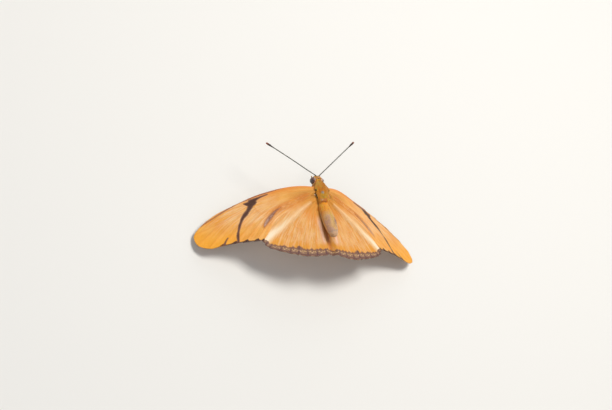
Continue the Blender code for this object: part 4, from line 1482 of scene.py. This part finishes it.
# Share of the length, and share of the full radius there
PALP_SWELL = ((0, 0), (0.08, 0.8), (0.3, 1.0), (0.52, 0.8), (0.58, 0.72), (0.8, 0.75), (0.95, 0.45), (1, 0))
COIL_CENTRE = (0.0, -4.65, -3.6)
COIL_RADIUS = 0.62
COIL_TURNS = 2.6
COIL_TIGHTENS = 0.18
COIL_STARTS_AT = 72
TONGUE_RADIUS = 0.12
TONGUE_DARK = (0.045, 0.018, 0.01, 1)
TONGUE_BROWN = (0.16, 0.065, 0.03, 1)


def fur_on(name, path, radii, count, length, width, lift, slot, finish):
    """Hairs on a tube, laid along it."""
    tangents, one, other = path_frames(path)
    row = randomly.integers(2, len(path) - 2, count)
    turn = randomly.uniform(0, 2 * math.pi, count)
    normals = np.cos(turn)[:, None] * one[row] + np.sin(turn)[:, None] * other[row]
    roots = path[row] + normals * radii[row][:, None] * 0.95
    lies = tangents[row] + randomly.normal(0, 0.12, (count, 3))
    sizes = (length * randomly.uniform(0.7, 1.2, count), width, width * 0.45)
    patches = np.column_stack([turn / (2 * math.pi), row / len(path)])
    bend = randomly.normal(0, 0.1, count)
    piece = set_down(name, hair, roots, normals, lies, sizes, lift, 0.1, bend, patches)
    keep(piece, "along", np.repeat(row / len(path), len(hair[0])))
    return finished(piece, finish, slot)


tongue_finish = Finish("tongue_rings", roughness=0.3, specular_ior_level=0.5)
grain = tongue_finish.grain(4.0, 2.0, 0.25, 0.2, 0.02)
tongue_finish.set("Base Color", tongue_finish.mix(TONGUE_DARK, TONGUE_BROWN, grain))

for side, word in WORDS.items():
    path = curve(mirrored(PALP, side), 0.06)
    share = np.linspace(0, 1, len(path))
    radii = PALP_RADIUS * np.interp(share, *zip(*PALP_SWELL))
    finished(tube(f"palp_{word}_skin", path, radii), skin_finish, "palp", f"palp_{word}")
    fur_on(f"palp_{word}_fur", path, radii, 700, 0.34, 0.024, 0.45, "palp", fur_finish)

turns = np.linspace(0, COIL_TURNS, 420)
spread = COIL_RADIUS - COIL_TIGHTENS * turns
angle = math.radians(COIL_STARTS_AT) + 2 * math.pi * turns
coil = np.array(COIL_CENTRE) + np.column_stack([0.02 * turns, -np.cos(angle) * spread, np.sin(angle) * spread])
coil = np.vstack([curve(((0, -4.85, -2.3), (0, -4.98, -2.62), coil[0]), 0.02)[:-1], coil])
share = np.linspace(0, 1, len(coil))
ends = np.sqrt(np.clip(np.minimum(share, 1 - share) * 90, 0, 1))
radii = (TONGUE_RADIUS - 0.06 * share) * (1 + 0.1 * np.sin(share * 560)) * ends
finished(tube("proboscis_coil", coil, radii, 10), tongue_finish.material, "proboscis", "proboscis")

# %% [markdown]
# ## Legs
#
# This family walks on four legs. Each has a stout first joint, a thigh, a shin with short spines and
# a foot of five small joints with two claws. The forelegs are brushes, folded under the thorax.

# %% Legs
LEG_POINTS = {
    "mid": ((1.05, 0.65, -3.55), (1.25, 0.58, -4.6), (1.5, 0.47, -6.3), (1.62, 0.42, -6.62),
        (5.85, -1.28, -8.62), (6.05, -1.36, -8.95), (6.87, -1.69, -14.05), (6.98, -1.73, -14.35),
        (8.2, -2.22, -15.6), (8.6, -2.38, -15.8), (9.7, -2.84, -15.84), (10.8, -3.28, -15.84)),
    "hind": ((0.95, 2.8, -3.45), (1.12, 3.05, -4.5), (1.25, 3.31, -6.12), (1.32, 3.45, -6.45),
        (3.42, 7.34, -8.62), (3.5, 7.5, -8.95), (3.93, 8.33, -14.05), (4, 8.45, -14.35), (4.6, 9.6, -15.6),
        (4.8, 9.98, -15.8), (5.38, 11.05, -15.84), (5.93, 12.08, -15.84)),
}
LEG_RADII = (0.0, 0.42, 0.3, 0.24, 0.2, 0.18, 0.16, 0.15, 0.15, 0.15, 0.14, 0.0)
FORELEG = ((0.95, -1.5, -3.75), (1, -1.6, -4.75), (1.05, -2.1, -5.15), (1.05, -2.8, -5.15), (1, -3.42, -4.8))
LEG_BROWN = (0.3, 0.14, 0.045, 1)
LEG_BUFF = (0.55, 0.3, 0.11, 1)
FOOT_DARK = (0.1, 0.045, 0.02, 1)
CLAW_RADIUS = 0.06
THIGH_SWELL = 0.13
FORELEG_RADII = (0, 0.26, 0.22, 0.17, 0)
JOINTS_AT = (0.765, 0.82, 0.87, 0.92, 0.965)

leg_finish = Finish("leg_scales", roughness=0.5, specular_ior_level=0.35)
grain = leg_finish.grain(2.4, 3.0, 0.4, 0.25, 0.04)
leg_finish.set("Base Color", leg_finish.paint(
    LEG_BROWN,
    (LEG_BUFF, grain.rises(0.35, 0.65)),
    (FOOT_DARK, leg_finish.attribute("along").rises(0.5, 0.72) * 0.75),
))

for side, word in WORDS.items():
    for kind, points in LEG_POINTS.items():
        landmarks = np.column_stack([mirrored(points, side), LEG_RADII])
        line = curve(landmarks, 0.07)
        path = line[:, :3]
        gone = np.linspace(0, 1, len(path))
        gap = np.min([np.linalg.norm(path - path[int(at * len(path))], axis=1) for at in JOINTS_AT], axis=0)
        thigh = THIGH_SWELL * lump(gone, 0.36, 0.12)
        radii = np.clip(line[:, 3] + thigh - 0.035 * lump(gap, 0, 0.08), 0, 1)
        radii[[0, -1]] = 0
        leg = tube(f"leg_{kind}_{word}_shaft", path, radii, 12)
        claws = []
        for lean in (-1, 1):
            ahead = path[-1] - path[-8]
            ahead /= np.linalg.norm(ahead)
            across_foot = np.cross(ahead, (0, 0, 1)) * lean
            start = path[-3]
            hook = curve((start, start + across_foot * 0.14 + ahead * 0.16 + (0, 0, 0.05),
                          start + across_foot * 0.2 + ahead * 0.3 - (0, 0, 0.08)), 0.04)
            claw = np.linspace(1, 0, len(hook)) * CLAW_RADIUS
            claw[0] = 0
            claws.append(tube("claw", hook, claw, 6))
        leg = joined(leg.name, leg, *claws)
        finished(leg, leg_finish.material, "leg", f"{kind}leg_{word}")
        fur_on(f"leg_{kind}_{word}_spines", path, radii, 420, 0.3, 0.016, 0.55, "leg", leg_finish.material)
    line = curve(np.column_stack([mirrored(FORELEG, side), FORELEG_RADII]), 0.06)
    path = line[:, :3]
    radii = np.clip(line[:, 3], 0, 1)
    leg = tube(f"leg_fore_{word}_shaft", path, radii, 12)
    finished(leg, leg_finish.material, "leg", f"foreleg_{word}")
    fur_on(f"leg_fore_{word}_brush", path, radii, 600, 0.45, 0.018, 0.5, "leg", fur_finish)

# %% [markdown]
# ## Fringes
#
# The outer margins of the wings end in a fringe of long narrow scales, dark at the veins and paler
# between them. They break the plain cut edge of the sheet.

# %% Fringes of scales
FRINGE_PALE = (0.6, 0.42, 0.27, 1)
FRINGE_BROWN = (0.16, 0.072, 0.045, 1)
FRINGE_DARK = (0.1, 0.04, 0.028, 1)
FRINGE_GAP = 0.055
FRINGES = {"fore": 0.32, "hind": 0.46}
fringe_finish = Finish("fringe_scales", roughness=0.55, specular_ior_level=0.3)
fringe_finish.grain(1.2, 2.0, 0.5, 0.2, 0.01)
fringe_finish.set("Base Color", fringe_finish.paint(
    FRINGE_PALE,
    (FRINGE_BROWN, fringe_finish.attribute("tone").rises(0.3, 0.55)),
    (FRINGE_DARK, fringe_finish.attribute("vein").falls(0.5, 1.1)),
    (TIP_ORANGE, abs(fringe_finish.place()[0]).rises(31, 35) * 0.9),
))


def fringe(name, side, sides, height, veins, length):
    outer = sides[3]
    total = np.linalg.norm(np.diff(outer, axis=0), axis=1).sum()
    count = int(total / FRINGE_GAP)
    shares = np.clip((np.arange(count) + randomly.uniform(0, 0.6, count)) / count, 0, 1)
    spots = evenly(outer, shares)
    ahead = evenly(outer, np.clip(shares + 0.004, 0, 1)) - evenly(outer, np.clip(shares - 0.004, 0, 1))
    outward = unit(np.column_stack([-ahead[:, 1], ahead[:, 0]]))
    middle = outer.mean(0)
    outward *= np.sign(np.sum(outward * (spots - middle), axis=1))[:, None]
    start = spots - outward * 0.1
    end = spots + outward * 0.3

    def on_sheet(plan):
        return mirrored(np.column_stack([plan, height(plan[:, 0], plan[:, 1], side)]), side)

    roots = on_sheet(start)
    lies = on_sheet(end) - roots + randomly.normal(0, 0.03, (count, 3))
    normals = np.tile((0.0, 0.0, 1.0), (count, 1))
    vein = np.min([away_from(spots, curve(line)) for line in veins.values()], axis=0)
    sizes = (length * randomly.uniform(0.7, 1.15, count), 0.034, 0.012)
    patches = on_wing_map(roots[:, 0] * side, roots[:, 1], 0.9)
    bend = randomly.normal(0, 0.08, count)
    piece = set_down(name, scale, roots, normals, lies, sizes, 0.0, 0.05, bend, patches)
    keep(piece, "vein", np.repeat(vein, len(scale[0])))
    return finished(piece, fringe_finish.material, "wing")


for side, word in WORDS.items():
    for kind, length in FRINGES.items():
        fringe(f"fringe_{kind}_{word}", side, *WINGS[kind], length)
